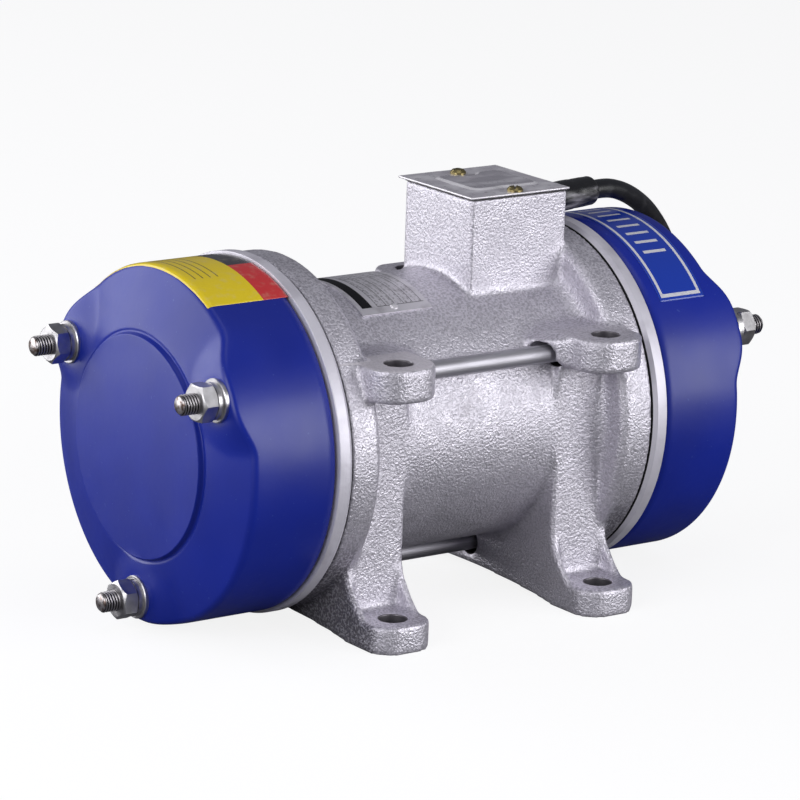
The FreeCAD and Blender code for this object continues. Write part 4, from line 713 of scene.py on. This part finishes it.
for subpart in frame["record"]["subparts"]:
    cadPiece = nodes[subpart["node"]]
    finish = finishes[subpart["material_slot"]]
    if not cadPiece.data.materials:
        cadPiece.data.materials.append(finish)
    for place in range(len(cadPiece.data.materials)):
        cadPiece.data.materials[place] = finish
print("materials made:", len(finishes))

cable = {
    "exit": (0.11766, 0.00524, 0.18793),   # at the end of the sleeve
    "route": [
        (0.11766, 0.00524, 0.18793), (0.12659, 0.00634, 0.18816), (0.1353, 0.0076, 0.1866),
        (0.144, 0.0093, 0.1833), (0.1524, 0.0114, 0.1789), (0.1607, 0.014, 0.1733),
        (0.1688, 0.0169, 0.1663), (0.177, 0.0199, 0.1578), (0.1852, 0.0235, 0.1474),
        (0.1927, 0.028, 0.135), (0.199, 0.0335, 0.1205), (0.2034, 0.0402, 0.104),
        (0.2054, 0.048, 0.0855), (0.2044, 0.057, 0.0665), (0.2002, 0.0675, 0.048),
        (0.1923, 0.08, 0.0315), (0.1808, 0.094, 0.0185), (0.1663, 0.1085, 0.0095),
        (0.1495, 0.1225, 0.0049), (0.131, 0.134, 0.0049), (0.1105, 0.142, 0.0049),
        (0.0895, 0.1455, 0.0049),
    ],
    "radius": 0.0049,
    "coilCentre": (0.069, 0.2024),
    "columns": (0.0569, 0.0471),           # outer and inner turns
    "layers": (0.0049, 0.0147),            # lower and upper turns
    "toInner": (270, 360),                 # degrees wound, for each change of place
    "climb": (555, 630),
    "toOuter": (825, 915),
    "woundDegrees": 1150,
    "stepDegrees": 15,
    "length": 1.42,
    "resolution": (6, 7),                  # along and round it
}


def coilPlace(cfg, wound):
    outer, inner = cfg["columns"]
    low, high = cfg["layers"]
    inwards = smoothStep(*cfg["toInner"], wound) - smoothStep(*cfg["toOuter"], wound)
    radius = outer + (inner - outer) * inwards
    height = low + (high - low) * smoothStep(*cfg["climb"], wound)
    angle = math.radians(-90 - wound)
    reach = radius / math.cos(math.radians(cfg["stepDegrees"] / 2))  # the line runs inside its points
    return (cfg["coilCentre"][0] + reach * math.cos(angle),
            cfg["coilCentre"][1] + reach * math.sin(angle), height)


def makeCable(cfg):
    points = list(cfg["route"])
    points += [coilPlace(cfg, wound) for wound in range(0, cfg["woundDegrees"] - 1, cfg["stepDegrees"])]
    points.append(coilPlace(cfg, cfg["woundDegrees"]))
    curve = bpy.data.curves.new("supplyCable", "CURVE")
    curve.dimensions = "3D"
    spline = curve.splines.new("NURBS")
    spline.points.add(len(points) - 1)
    for point, place in zip(spline.points, points):
        point.co = (*place, 1)
    spline.order_u = 3
    spline.use_endpoint_u = True
    spline.resolution_u, curve.bevel_resolution = cfg["resolution"]
    curve.bevel_depth = cfg["radius"]
    curve.use_fill_caps = True
    piece = placeObject("supplyCable", curve)
    finishPiece(piece, finishes["cable_jacket"], replaced=("power_cable", "cable_coil"))


makeCable(cable)
print("cable laid")

capForm = {
    "sideRadius": 0.0865,
    "faceFlat": 0.0570,      # the face is flat up to here
    "domeDrop": 0.0076,      # the face falls back this much at its rim
    "topDrop": 0.0016,       # and this much more at the top
    "domePower": 1.22,
    "seatRadius": 0.0108,    # flat round each bolt
    "seatFall": 0.0105,
    "seatFallWidth": 0.0185,
    "blend": 0.0052,
    "cornerSize": 0.0030,
    "discRadius": 0.0545,    # raised middle
    "discHeight": 0.0025,
    "discStep": (0.0007, 0.0005),   # its edge, inside and outside that radius
    "discGroove": 0.0002,    # crease at its foot
    "grooveEdges": (0.0002, 0.0010, 0.0022),
    "discBand": (0.002, 0.003),     # finer rings inside and outside the disc's edge
    "rings": (30, 20, 32),
    "columns": 288,
    "faceBack": 0.0030,      # the face behind the CAD cap's end, room for the disc
    "sideEnd": 0.0022,       # the side ends here, then the rolled rim
    "rimShape": ((0.0016, 0.0), (0.0012, -0.0004), (0.0004, -0.0004), (0.0, -0.0012)),
    "rimGap": 0.0014,
    "sheet": 0.0013,
}


def smoothMax(a, b, soft):
    share = max(soft - abs(a - b), 0) / soft
    return max(a, b) + share * share * soft * 0.25


# how far out the cap's face stands at a place
def capHeight(cfg, face, across, up):
    radius = math.hypot(across, up)
    beyond = max(radius - cfg["faceFlat"], 0) / (cfg["sideRadius"] - cfg["faceFlat"])
    drop = cfg["domeDrop"] + cfg["topDrop"] * (max(up, 0) / max(radius, 0.001)) ** 2
    dome = face - drop * beyond ** cfg["domePower"]
    seats = -1.0
    for boltAcross, boltUp in rodSpots:
        away = math.hypot(across - boltAcross, up - boltUp) - cfg["seatRadius"]
        fall = max(away, 0) / cfg["seatFallWidth"]
        seats = max(seats, face - cfg["seatFall"] * (fall * fall if fall < 1 else 2 * fall - 1))
    form = smoothMax(dome, seats, cfg["blend"])
    edge = cfg["discRadius"]
    disc = cfg["discHeight"] * (1 - smoothStep(edge - cfg["discStep"][0], edge + cfg["discStep"][1], radius))
    near, middle, far = (edge + out for out in cfg["grooveEdges"])
    groove = smoothStep(near, middle, radius) * (1 - smoothStep(middle, far, radius))
    return form + disc - cfg["discGroove"] * groove


# (out, radius) on the rounded corner between face and side, turn from 0 to 90 degrees
def capCorner(cfg, face, angle, turn):
    size = cfg["cornerSize"]
    edge = cfg["sideRadius"] - size
    out, inner = (capHeight(cfg, face, -radius * math.cos(angle), radius * math.sin(angle))
                  for radius in (edge, edge - mm))
    slope, turn = (out - inner) / mm, math.radians(turn)
    return (out + slope * size * math.sin(turn) * 0.8 - size * (1 - math.cos(turn)),
            edge + size * math.sin(turn))


def capPlace(side, out, radius, angle):
    return Vector((side * out, -radius * math.cos(angle), axisHeight + radius * math.sin(angle)))


def makeCap(cfg, name, side, node):
    nearEnd, farEnd = spanOut(node)
    rim, face = nearEnd + cfg["rimGap"], farEnd - cfg["faceBack"]
    columns = cfg["columns"]
    angles = [2 * math.pi * column / columns for column in range(columns)]
    edge = cfg["sideRadius"] - cfg["cornerSize"]
    bandStart, bandEnd = cfg["discRadius"] - cfg["discBand"][0], cfg["discRadius"] + cfg["discBand"][1]
    radii = [mm]
    for start, end, rings in zip((mm, bandStart, bandEnd), (bandStart, bandEnd, edge), cfg["rings"]):
        radii += [start + (end - start) * ring / rings for ring in range(1, rings + 1)]
    rows = []
    for radius in radii:
        rows.append([capPlace(side, capHeight(cfg, face, -radius * math.cos(a), radius * math.sin(a)),
                              radius, a) for a in angles])
    corners = [[capCorner(cfg, face, a, 90 * step / 7) for a in angles] for step in range(1, 8)]
    for corner in corners:
        rows.append([capPlace(side, out, radius, a) for (out, radius), a in zip(corner, angles)])
    for step in range(1, 15):
        share = step / 15
        rows.append([capPlace(side, out + (rim + cfg["sideEnd"] - out) * share, radius, a)
                     for (out, radius), a in zip(corners[-1], angles)])
    for out, grow in cfg["rimShape"]:
        rows.append([capPlace(side, rim + out, cfg["sideRadius"] + grow, a) for a in angles])
    points = [point for row in rows for point in row]
    faces = gridFaces(len(rows), columns, True)
    faces.append(tuple(range(columns))[::-1])
    piece = meshPiece(name, points, faces)
    if side < 0:
        piece.data.flip_normals()
    thicken(piece, cfg["sheet"])
    return finishPiece(piece, finishes["cap_blue"], replaced=(node,))


labelForm = {
    "left_cap_label": (96, 70),      # middle and width, degrees round the cap
    "right_cap_label": (80, 80),
    "columns": 90,
    "rows": 40,
    "lift": 0.00018,         # of the film's face above the cap
    "film": 0.00012,
}

# printed film that follows the cap's side and its rounded corner
def makeCapLabel(cfg, label, name, side, node, cap, slot):
    face = spanOut(cap)[1] - cfg["faceBack"]
    first, last = spanOut(node)
    middle, width = label[node]
    columns, rows = label["columns"], label["rows"]
    points = []
    for row in range(rows):
        out = first + (last - first) * row / (rows - 1)
        for column in range(columns):
            angle = math.radians(middle - width / 2 + width * column / (columns - 1))
            radius, place = cfg["sideRadius"], out
            for turn in range(90, -1, -3):
                cornerOut, cornerRadius = capCorner(cfg, face, angle, turn)
                radius, place = cornerRadius, min(out, cornerOut)
                if cornerOut >= out:
                    break
            points.append(capPlace(side, place, radius + label["lift"], angle))
    faces = gridFaces(rows, columns, False)
    if side > 0:
        faces = [corners[::-1] for corners in faces]
    piece = meshPiece(name, points, faces)
    applyModifier(piece, "SOLIDIFY", thickness=label["film"], offset=-1)
    return finishPiece(piece, finishes[slot], replaced=(node,))


makeCap(capForm, "leftCapShell", -1, "left_cap")
makeCap(capForm, "rightCapShell", 1, "right_cap")
makeCapLabel(capForm, labelForm, "leftCapLabel", -1, "left_cap_label", "left_cap", "label_print")
makeCapLabel(capForm, labelForm, "rightCapLabel", 1, "right_cap_label", "right_cap", "label_blue")
print("caps and labels made")

shieldForm = {
    "edge": 0.0005, "groove": 0.0007, "grooveDepth": 0.004, "chamfer": 0.0016, "jointBack": 0.0085,
    "spigot": 0.061, "spigotWall": 0.006, "spigotStart": 0.0075, "hubWall": 0.011, "shaftHole": 0.019,
    "registerHeight": 0.0025, "registerWall": 0.0045, "registerEdge": 0.0004,   # seat of the cap's rim
    "rimGroove": 0.0030, "rimGrooveWidth": 0.0012, "capGap": 0.0015,
}

def makeShield(cfg, name, side, node, bearing):
    start, end = spanOut(node)
    bearingStart, bearingEnd = spanOut(bearing)
    outer, seat = ((high.z - low.z) / 2 for low, high in (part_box(node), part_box(bearing)))
    face = end - cfg["registerHeight"]
    joint = face - cfg["jointBack"]
    groove, grooveFloor = joint + cfg["groove"], outer - cfg["grooveDepth"]
    spigot, spigotInside, spigotStart = (cfg["spigot"], cfg["spigot"] - cfg["spigotWall"],
                                         start + cfg["spigotStart"])
    capInside = capForm["sideRadius"] - cfg["capGap"]
    rimEnd, rimFloor = face + cfg["rimGrooveWidth"], capInside - cfg["rimGroove"]
    register, hub, edge = capInside - cfg["registerWall"], seat + cfg["hubWall"], cfg["edge"]
    profile = [(joint, spigot), (joint, grooveFloor), (groove, grooveFloor),
               (groove, outer - cfg["chamfer"]), (groove + 1.3 * cfg["chamfer"], outer)]
    profile += roundCorner(face - edge, outer - edge, edge, 90, 0)
    profile += [(face, rimFloor), (rimEnd, rimFloor), (rimEnd, capInside),
                (end, capInside - cfg["registerEdge"]),
                (end, register + cfg["registerEdge"]), (face, register), (face, cfg["shaftHole"]),
                (bearingEnd, cfg["shaftHole"]), (bearingEnd, seat), (bearingStart, seat), (bearingStart, hub),
                (joint, hub), (joint, spigotInside), (spigotStart, spigotInside), (spigotStart, spigot)]
    piece = lathe(name, profile, Vector((0, 0, axisHeight)), xAxis * side, 256, closed=True)
    sharpen(piece)
    return finishPiece(piece, finishes["shield_silver"], replaced=(node,))


makeShield(shieldForm, "leftShieldRing", -1, "left_end_shield", "left_bearing_outer_ring")
makeShield(shieldForm, "rightShieldRing", 1, "right_end_shield", "right_bearing_outer_ring")
print("end shields made")

rodForm = {
    "shank": 0.0045, "thread": 0.005, "pitch": 0.0015, "threadDepth": 0.00085, "tooth": (0.18, 0.9),
    "threadFrom": 0.138, "overlap": 0.0001, "endChamfer": 0.0011, "turns": 40, "rowsPerTurn": 6,
}


# radius at a place along the rod; phase is how far round the helix
def rodRadius(cfg, out, reach, phase):
    if out < cfg["threadFrom"]:
        return cfg["shank"]
    wave = abs(((phase % 1) - 0.5) * 2)
    tooth = cfg["thread"] - cfg["threadDepth"] * smoothStep(*cfg["tooth"], wave)
    return min(tooth, cfg["thread"] - cfg["endChamfer"] + max(reach - out, 0) * 0.9)


def makeTieRods(cfg):
    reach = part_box("tie_rods")[1].x
    points, faces, shanks = [], [], []
    turns, rows = cfg["turns"], cfg["rowsPerTurn"]
    rowCount = (int((reach - cfg["threadFrom"]) / cfg["pitch"]) + 2) * rows + 1
    for rodY, rodUp in rodSpots:
        for side in (-1, 1):
            start = len(points)
            for row in range(rowCount):
                for column in range(turns):
                    share = column / turns
                    out = cfg["threadFrom"] + (row / rows - 1 + share) * cfg["pitch"]
                    out = min(max(out, cfg["threadFrom"] - cfg["overlap"]), reach)
                    radius, turn = rodRadius(cfg, out, reach, row / rows), 2 * math.pi * share * side
                    points.append((side * out, rodY + radius * math.cos(turn),
                                   axisHeight + rodUp + radius * math.sin(turn)))
            for row in range(rowCount - 1):
                for column in range(turns):
                    here, ahead = row * turns + column, row * turns + column + 1
                    if column == turns - 1:
                        ahead = (row + rows) * turns      # the seam joins the next turn
                    if ahead + turns < rowCount * turns:
                        faces.append([start + place for place in (here, ahead, ahead + turns, here + turns)])
            last = start + (rowCount - 1) * turns
            faces.append(list(range(last, last + turns)))
            faces.append(list(range(start, start + turns))[::-1])
        end = cfg["threadFrom"] + 2 * cfg["overlap"]
        centre = Vector((0, rodY, axisHeight + rodUp))
        shanks.append(lathe("shank", [(-end, cfg["shank"]), (end, cfg["shank"])], centre, xAxis, 64))
    piece = meshPiece("tieRods", points, faces)
    mergePoints(piece)
    for part in (piece, *shanks):
        sharpen(part, 50)
    joinPieces(piece, shanks)
    return finishPiece(piece, finishes["rod_steel"], replaced=("tie_rods",))


makeTieRods(rodForm)
print("tie rods made")

housingForm = {
    "voxel": 0.0012,
    "rounds": 11,            # of softening
    "roundStep": 0.6,
    "convexShare": 0.42,     # outer edges soften this much of what inner corners do
    "boxShare": 0.12,        # and those of the terminal box
    "boxFrom": (0.014, 0.034, 0.150),   # its low x, half width and low z
    "footToBarrel": 0.016,   # from a foot hole's middle to the barrel's side
    "footToSupport": 0.017,  # and to the support's inner wall
    "lugToEnd": 0.018,       # from a lug hole's middle to the lug's inner end
    "lugThickness": 0.0165,
    "webPlan": ((0.002, 0.013), (-0.011, -0.004)),   # web past the lug's end and the barrel's side
    "webFloor": (0.0, 0.006),
    "webTop": (0.0004, 0.004),
    "webBack": 0.050,
    "rodHoleRadius": 0.0068,
    "rodHoleDepth": 0.008,
    "rodHoleStart": 0.016,
    "rodHoleEnd": 0.0006,
    "jointDepth": 0.0009,    # machined faces and bores keep their shape within these
    "soleDepth": 0.0006,
    "boreMargin": 0.0012,
    "boreSnap": (0.0025, 0.0008),
    "rodHoleSnap": (0.0007, 0.0008),
    "footHoleTop": 0.03,
    "lugHoleFloor": 0.1,
}


# inner corners fill into fillets, outer edges only lose their sharpness
def softenCorners(mesh, cfg, fixed, onBox):
    count = len(mesh.vertices)
    edges = np.empty(len(mesh.edges) * 2, np.int32)
    mesh.edges.foreach_get("vertices", edges)
    first, second = edges[0::2], edges[1::2]
    degree = np.bincount(first, minlength=count) + np.bincount(second, minlength=count)
    points = np.empty(count * 3)
    mesh.vertices.foreach_get("co", points)
    points = points.reshape(-1, 3)
    loose = ~fixed(points)
    outerShare = np.where(onBox(points), cfg["boxShare"], cfg["convexShare"])
    normals = np.empty(count * 3)
    for _ in range(cfg["rounds"]):
        mesh.vertices.foreach_get("normal", normals)
        normal = normals.reshape(-1, 3)
        mean = np.empty_like(points)
        for axis in range(3):
            mean[:, axis] = (np.bincount(first, points[second, axis], count)
                             + np.bincount(second, points[first, axis], count)) / degree
        shift = (mean - points) * cfg["roundStep"]
        outwards = (shift * normal).sum(1) > 0
        share = np.where(outwards, 1.0, outerShare) * loose
        points = points + shift * share[:, None]
        mesh.vertices.foreach_set("co", points.ravel())
        mesh.update()


# pulls what lies by a bore onto its wall; first and second are the axes across it
def trueBore(points, first, firstMiddle, second, secondMiddle, radius, margins, where):
    across, along = np.abs(points[:, first]) - firstMiddle, points[:, second] - secondMiddle
    away = np.maximum(np.hypot(across, along), 0.00001)
    near = where & (away > radius - margins[0]) & (away < radius + margins[1])
    share = np.where(near, radius / away, 1.0)
    points[:, first] = np.sign(points[:, first]) * (firstMiddle + across * share)
    points[:, second] = secondMiddle + along * share


# upright prism over plan corners; low and high give its heights at each corner
def prism(name, corners, low, high):
    count = len(corners)
    points = [(x, y, z) for (x, y), z in zip(corners, low)] + [(x, y, z) for (x, y), z in zip(corners, high)]
    faces = [tuple(range(count))[::-1], tuple(range(count, 2 * count))]
    faces += [(a, (a + 1) % count, (a + 1) % count + count, a + count) for a in range(count)]
    piece = meshPiece(name, points, faces, False)
    turnOutwards(piece)
    return piece


def carve(piece, cutters):
    for cutter in cutters:
        applyModifier(piece, "BOOLEAN", object=cutter, operation="DIFFERENCE", solver="EXACT")


def makeHousing(cfg):
    piece = placeObject("castHousing", nodes["stator_housing"].data.copy())
    welded = bmesh.new()
    welded.from_mesh(piece.data)
    bmesh.ops.remove_doubles(welded, verts=welded.verts, dist=0.000001)
    welded.to_mesh(piece.data)
    (footX, footY, holeRadius, _), (lugX, lugY, _, lugTop) = mountHoles()
    barrelRadius, supportInner = footY - cfg["footToBarrel"], footX - cfg["footToSupport"]
    profile = [(supportInner - cfg["rodHoleStart"], cfg["rodHoleRadius"]),
               (supportInner + cfg["rodHoleDepth"], cfg["rodHoleRadius"])]
    cutters = [lathe("rodDrill", profile, Vector((0, rodY, axisHeight + rodUp)), xAxis * side, 48)
               for side in (-1, 1) for rodY, rodUp in rodSpots]
    lugEnd, webs = lugX - cfg["lugToEnd"], []
    (nearX, nearY), (farX, farY) = ((lugEnd + along, barrelRadius + across)
                                    for along, across in cfg["webPlan"])
    floors = [lugTop - cfg["lugThickness"] + rise for rise in cfg["webFloor"] for _ in (1, 2)]
    tops = [lugTop - drop for drop in cfg["webTop"] for _ in (1, 2)]
    for side in (-1, 1):
        for end in (-1, 1):
            plan = [(end * nearX, side * nearY), (end * nearX, side * cfg["webBack"]),
                    (end * farX, side * cfg["webBack"]), (end * farX, side * farY)]
            webs.append(prism("lugWeb", plan, floors, tops))
    for solid in (piece, *webs):
        carve(solid, cutters)
    joinPieces(piece, webs)
    for cutter in cutters:
        bpy.data.objects.remove(cutter)
    applyModifier(piece, "REMESH", mode="VOXEL", voxel_size=cfg["voxel"], use_smooth_shade=True)
    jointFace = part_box("stator_housing")[1].x - cfg["jointDepth"]

    def machined(points):
        x, y, z = np.abs(points[:, 0]), np.abs(points[:, 1]), points[:, 2]
        reach = holeRadius + cfg["boreMargin"]
        inFootHole = (np.hypot(x - footX, y - footY) < reach) & (z < cfg["footHoleTop"])
        inLugHole = (np.hypot(x - lugX, y - lugY) < reach) & (z > cfg["lugHoleFloor"])
        return (x > jointFace) | (z < cfg["soleDepth"]) | inFootHole | inLugHole

    def onBox(points):
        lowX, halfY, lowZ = cfg["boxFrom"]
        return (points[:, 2] > lowZ) & (points[:, 0] > lowX) & (np.abs(points[:, 1]) < halfY)

    softenCorners(piece.data, cfg, machined, onBox)
    points = np.empty(len(piece.data.vertices) * 3)
    piece.data.vertices.foreach_get("co", points)
    points = points.reshape(-1, 3)
    for side in (-1, 1):
        onSide = points[:, 1] * side > 0
        trueBore(points, 0, footX, 1, side * footY, holeRadius, cfg["boreSnap"],
                 onSide & (points[:, 2] < cfg["footHoleTop"]))
        trueBore(points, 0, lugX, 1, side * lugY, holeRadius, cfg["boreSnap"],
                 onSide & (points[:, 2] > cfg["lugHoleFloor"]))
    intoSupport = np.abs(points[:, 0]) < supportInner + cfg["rodHoleDepth"] + cfg["rodHoleEnd"]
    for rodY, rodUp in rodSpots[1:]:      # the first lies opposite the second
        trueBore(points, 1, rodY, 2, axisHeight + rodUp, cfg["rodHoleRadius"], cfg["rodHoleSnap"],
                 intoSupport)
    piece.data.vertices.foreach_set("co", points.ravel())
    piece.data.update()
    piece.data.polygons.foreach_set("use_smooth", [True] * len(piece.data.polygons))
    print("housing:", len(piece.data.polygons), "faces")
    return finishPiece(piece, finishes["cast_silver"], replaced=("stator_housing",))


makeHousing(housingForm)

coverForm = {
    "plateau": (0.027, 0.069, -0.018, 0.019),   # low x, high x, low y, high y
    "plateauCorner": 0.006,
    "plateauSlope": 0.0022,
    "notchRadius": 0.0085,
    "plateauHeight": 0.0009,
    "fill": 0.9,             # of that height
    "sag": (0.00012, 160, 130),   # depth, and waves along x and y
    "screwInset": 0.004,
    "sheet": 0.0009,
    "cells": 84,
}


def makeCover(cfg):
    low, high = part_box("terminal_box_cover")
    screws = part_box("cover_screws")
    screwX = (screws[0].x + screws[1].x) / 2
    screwSpots = ((screwX, screws[0].y + cfg["screwInset"]), (screwX, screws[1].y - cfg["screwInset"]))
    plateauHeight, corner = cfg["plateauHeight"], cfg["plateauCorner"]
    sagDepth, alongX, alongY = cfg["sag"]
    top = high.z - plateauHeight
    x0, x1, y0, y1 = cfg["plateau"]
    points = []
    cells = cfg["cells"]
    for row in range(cells + 1):
        for column in range(cells + 1):
            x = low.x + (high.x - low.x) * column / cells
            y = low.y + (high.y - low.y) * row / cells
            awayX = abs(x - (x0 + x1) / 2) - (x1 - x0) / 2 + corner
            awayY = abs(y - (y0 + y1) / 2) - (y1 - y0) / 2 + corner
            away = math.hypot(max(awayX, 0), max(awayY, 0)) + min(max(awayX, awayY), 0) - corner
            for spotX, spotY in screwSpots:
                away = max(away, cfg["notchRadius"] - math.hypot(x - spotX, y - spotY))
            lift = plateauHeight * (1 - smoothStep(-cfg["plateauSlope"], 0.0, away))
            sag = sagDepth * math.sin(x * alongX) * math.cos(y * alongY)
            points.append((x, y, top + lift * cfg["fill"] + min(sag, 0) * (1 - lift / plateauHeight)))
    piece = meshPiece("boxCover", points, gridFaces(cells + 1, cells + 1, False))
    thicken(piece, cfg["sheet"])
    return finishPiece(piece, finishes["cover_grey"], replaced=("terminal_box_cover",))


makeCover(coverForm)
print("cover made")

sleeveForm = {
    "yaw": 7, "pitch": 1.5, "length": 0.043, "root": 0.0082, "tip": 0.0074, "neck": 0.0077, "bore": 0.0050,
    "collarWall": 0.0018, "collarEnds": (-0.008, -0.0057), "neckEnd": 0.0013, "tipStart": 0.0030,
    "tipRound": 0.0022,
    "boreDepth": 0.006, "dents": ((0.00016, 23), (0.0001, 51)),
}


def makeSleeve(cfg):
    yaw, pitch = math.radians(cfg["yaw"]), math.radians(cfg["pitch"])
    way = Vector((math.cos(pitch) * math.cos(yaw), math.cos(pitch) * math.sin(yaw), math.sin(pitch)))
    root = Vector(cable["exit"]) - way * cfg["length"]
    end, neck, neckEnd, tipRound = cfg["length"], cfg["neck"], cfg["neckEnd"], cfg["tipRound"]
    collarStart, collarEnd = cfg["collarEnds"]
    profile = [(collarStart, cfg["bore"]), (collarStart, neck + cfg["collarWall"]),
               (collarEnd, neck + cfg["collarWall"]), (collarEnd, neck), (neckEnd, neck),
               (neckEnd, cfg["root"])]
    for step in range(1, 19):
        share = step / 18
        dent = min(sum(depth * math.sin(share * waves) for depth, waves in cfg["dents"]), 0)
        radius = cfg["root"] + (cfg["tip"] - cfg["root"]) * share + dent
        profile.append((neckEnd + (end - neckEnd - cfg["tipStart"]) * share, radius))
    profile += roundCorner(end - tipRound, cfg["tip"] - tipRound, tipRound, 80, 0)
    profile += [(end, cfg["bore"]), (end - cfg["boreDepth"], cfg["bore"])]
    piece = lathe("cableSleeve", profile, root, way, 72, closed=True)
    sharpen(piece, 40)
    return finishPiece(piece, finishes["black_rubber"], replaced=("cable_sleeve",))


makeSleeve(sleeveForm)
print("sleeve made")

studio = {
    "right": {"at": (1.10, -1.85, 0.55), "size": (1.7, 1.2), "power": 31},
    "left": {"at": (-2.1, -0.7, 0.9), "size": (1.5, 1.2), "power": 25},
    "back": {"at": (-1.5, 1.7, 0.85), "size": (2.6, 1.6), "power": 34},
    "low": {"at": (-0.50, 0.46, 0.03), "size": (0.5, 0.5), "power": 2.2, "aim": (-0.20, 0.15, 1.0)},
    "top": {"at": (0.1, -0.3, 2.3), "size": (1.4, 1.4), "power": 5},
    "aim": (0, 0, 0.08),
    "world": 0.16,
    "glow": 0.86,                    # of the floor as the camera sees it
    "floorReach": 8,
    "floor": (0.16, 0.16, 0.17),     # for what the motor sees of it
}


def makeLight(name, cfg, aim):
    lamp = bpy.data.lights.new(name, "AREA")
    lamp.shape = "RECTANGLE"
    lamp.size, lamp.size_y = cfg["size"]
    lamp.energy = cfg["power"]
    light = placeObject(name, lamp)
    light.location = cfg["at"]
    way = Vector(cfg.get("aim", aim)) - Vector(cfg["at"])
    light.rotation_euler = way.to_track_quat("-Z", "Y").to_euler()


# one shader for what the camera sees, another for what lights the motor
def mixByCamera(tree, unseen, seen):
    mix = addNode(tree, "MixShader")
    for socket, value in zip(mix.inputs, (addNode(tree, "LightPath").outputs["Is Camera Ray"], unseen, seen)):
        tree.links.new(value, socket)
    return mix.outputs[0]

def makeStudio(cfg):
    for name in ("right", "left", "back", "low", "top"):
        makeLight(name + "Light", cfg[name], cfg["aim"])
    world = bpy.data.worlds.new("studioWorld")
    bpy.context.scene.world = world
    world.use_nodes = True
    tree = world.node_tree
    tree.nodes.clear()
    soft = addNode(tree, "Background", Color=(0.86, 0.88, 1.0, 1), Strength=cfg["world"])
    white = addNode(tree, "Background", Color=(1, 1, 1, 1), Strength=1.0)
    output = addNode(tree, "OutputWorld")
    tree.links.new(mixByCamera(tree, soft.outputs[0], white.outputs[0]), output.inputs["Surface"])


def makeFloor(cfg):
    reach = cfg["floorReach"]
    corners = [(-reach, -reach, 0), (reach, -reach, 0), (reach, reach, 0), (-reach, reach, 0)]
    floor = meshPiece("studioFloor", corners, [(0, 1, 2, 3)], False)
    material, tree, shader = startMaterial("floorPaper", cfg["floor"], 0.9)
    glow = addNode(tree, "Emission", Color=(1, 1, 1, 1), Strength=cfg["glow"])
    blend = addNode(tree, "AddShader")
    tree.links.new(shader.outputs[0], blend.inputs[0])
    tree.links.new(glow.outputs[0], blend.inputs[1])
    surface = mixByCamera(tree, shader.outputs[0], blend.outputs[0])
    tree.links.new(surface, tree.nodes["Material Output"].inputs["Surface"])
    floor.data.materials.append(material)


makeStudio(studio)
makeFloor(studio)
bpy.context.scene.view_settings.view_transform = "Standard"
print("studio made")
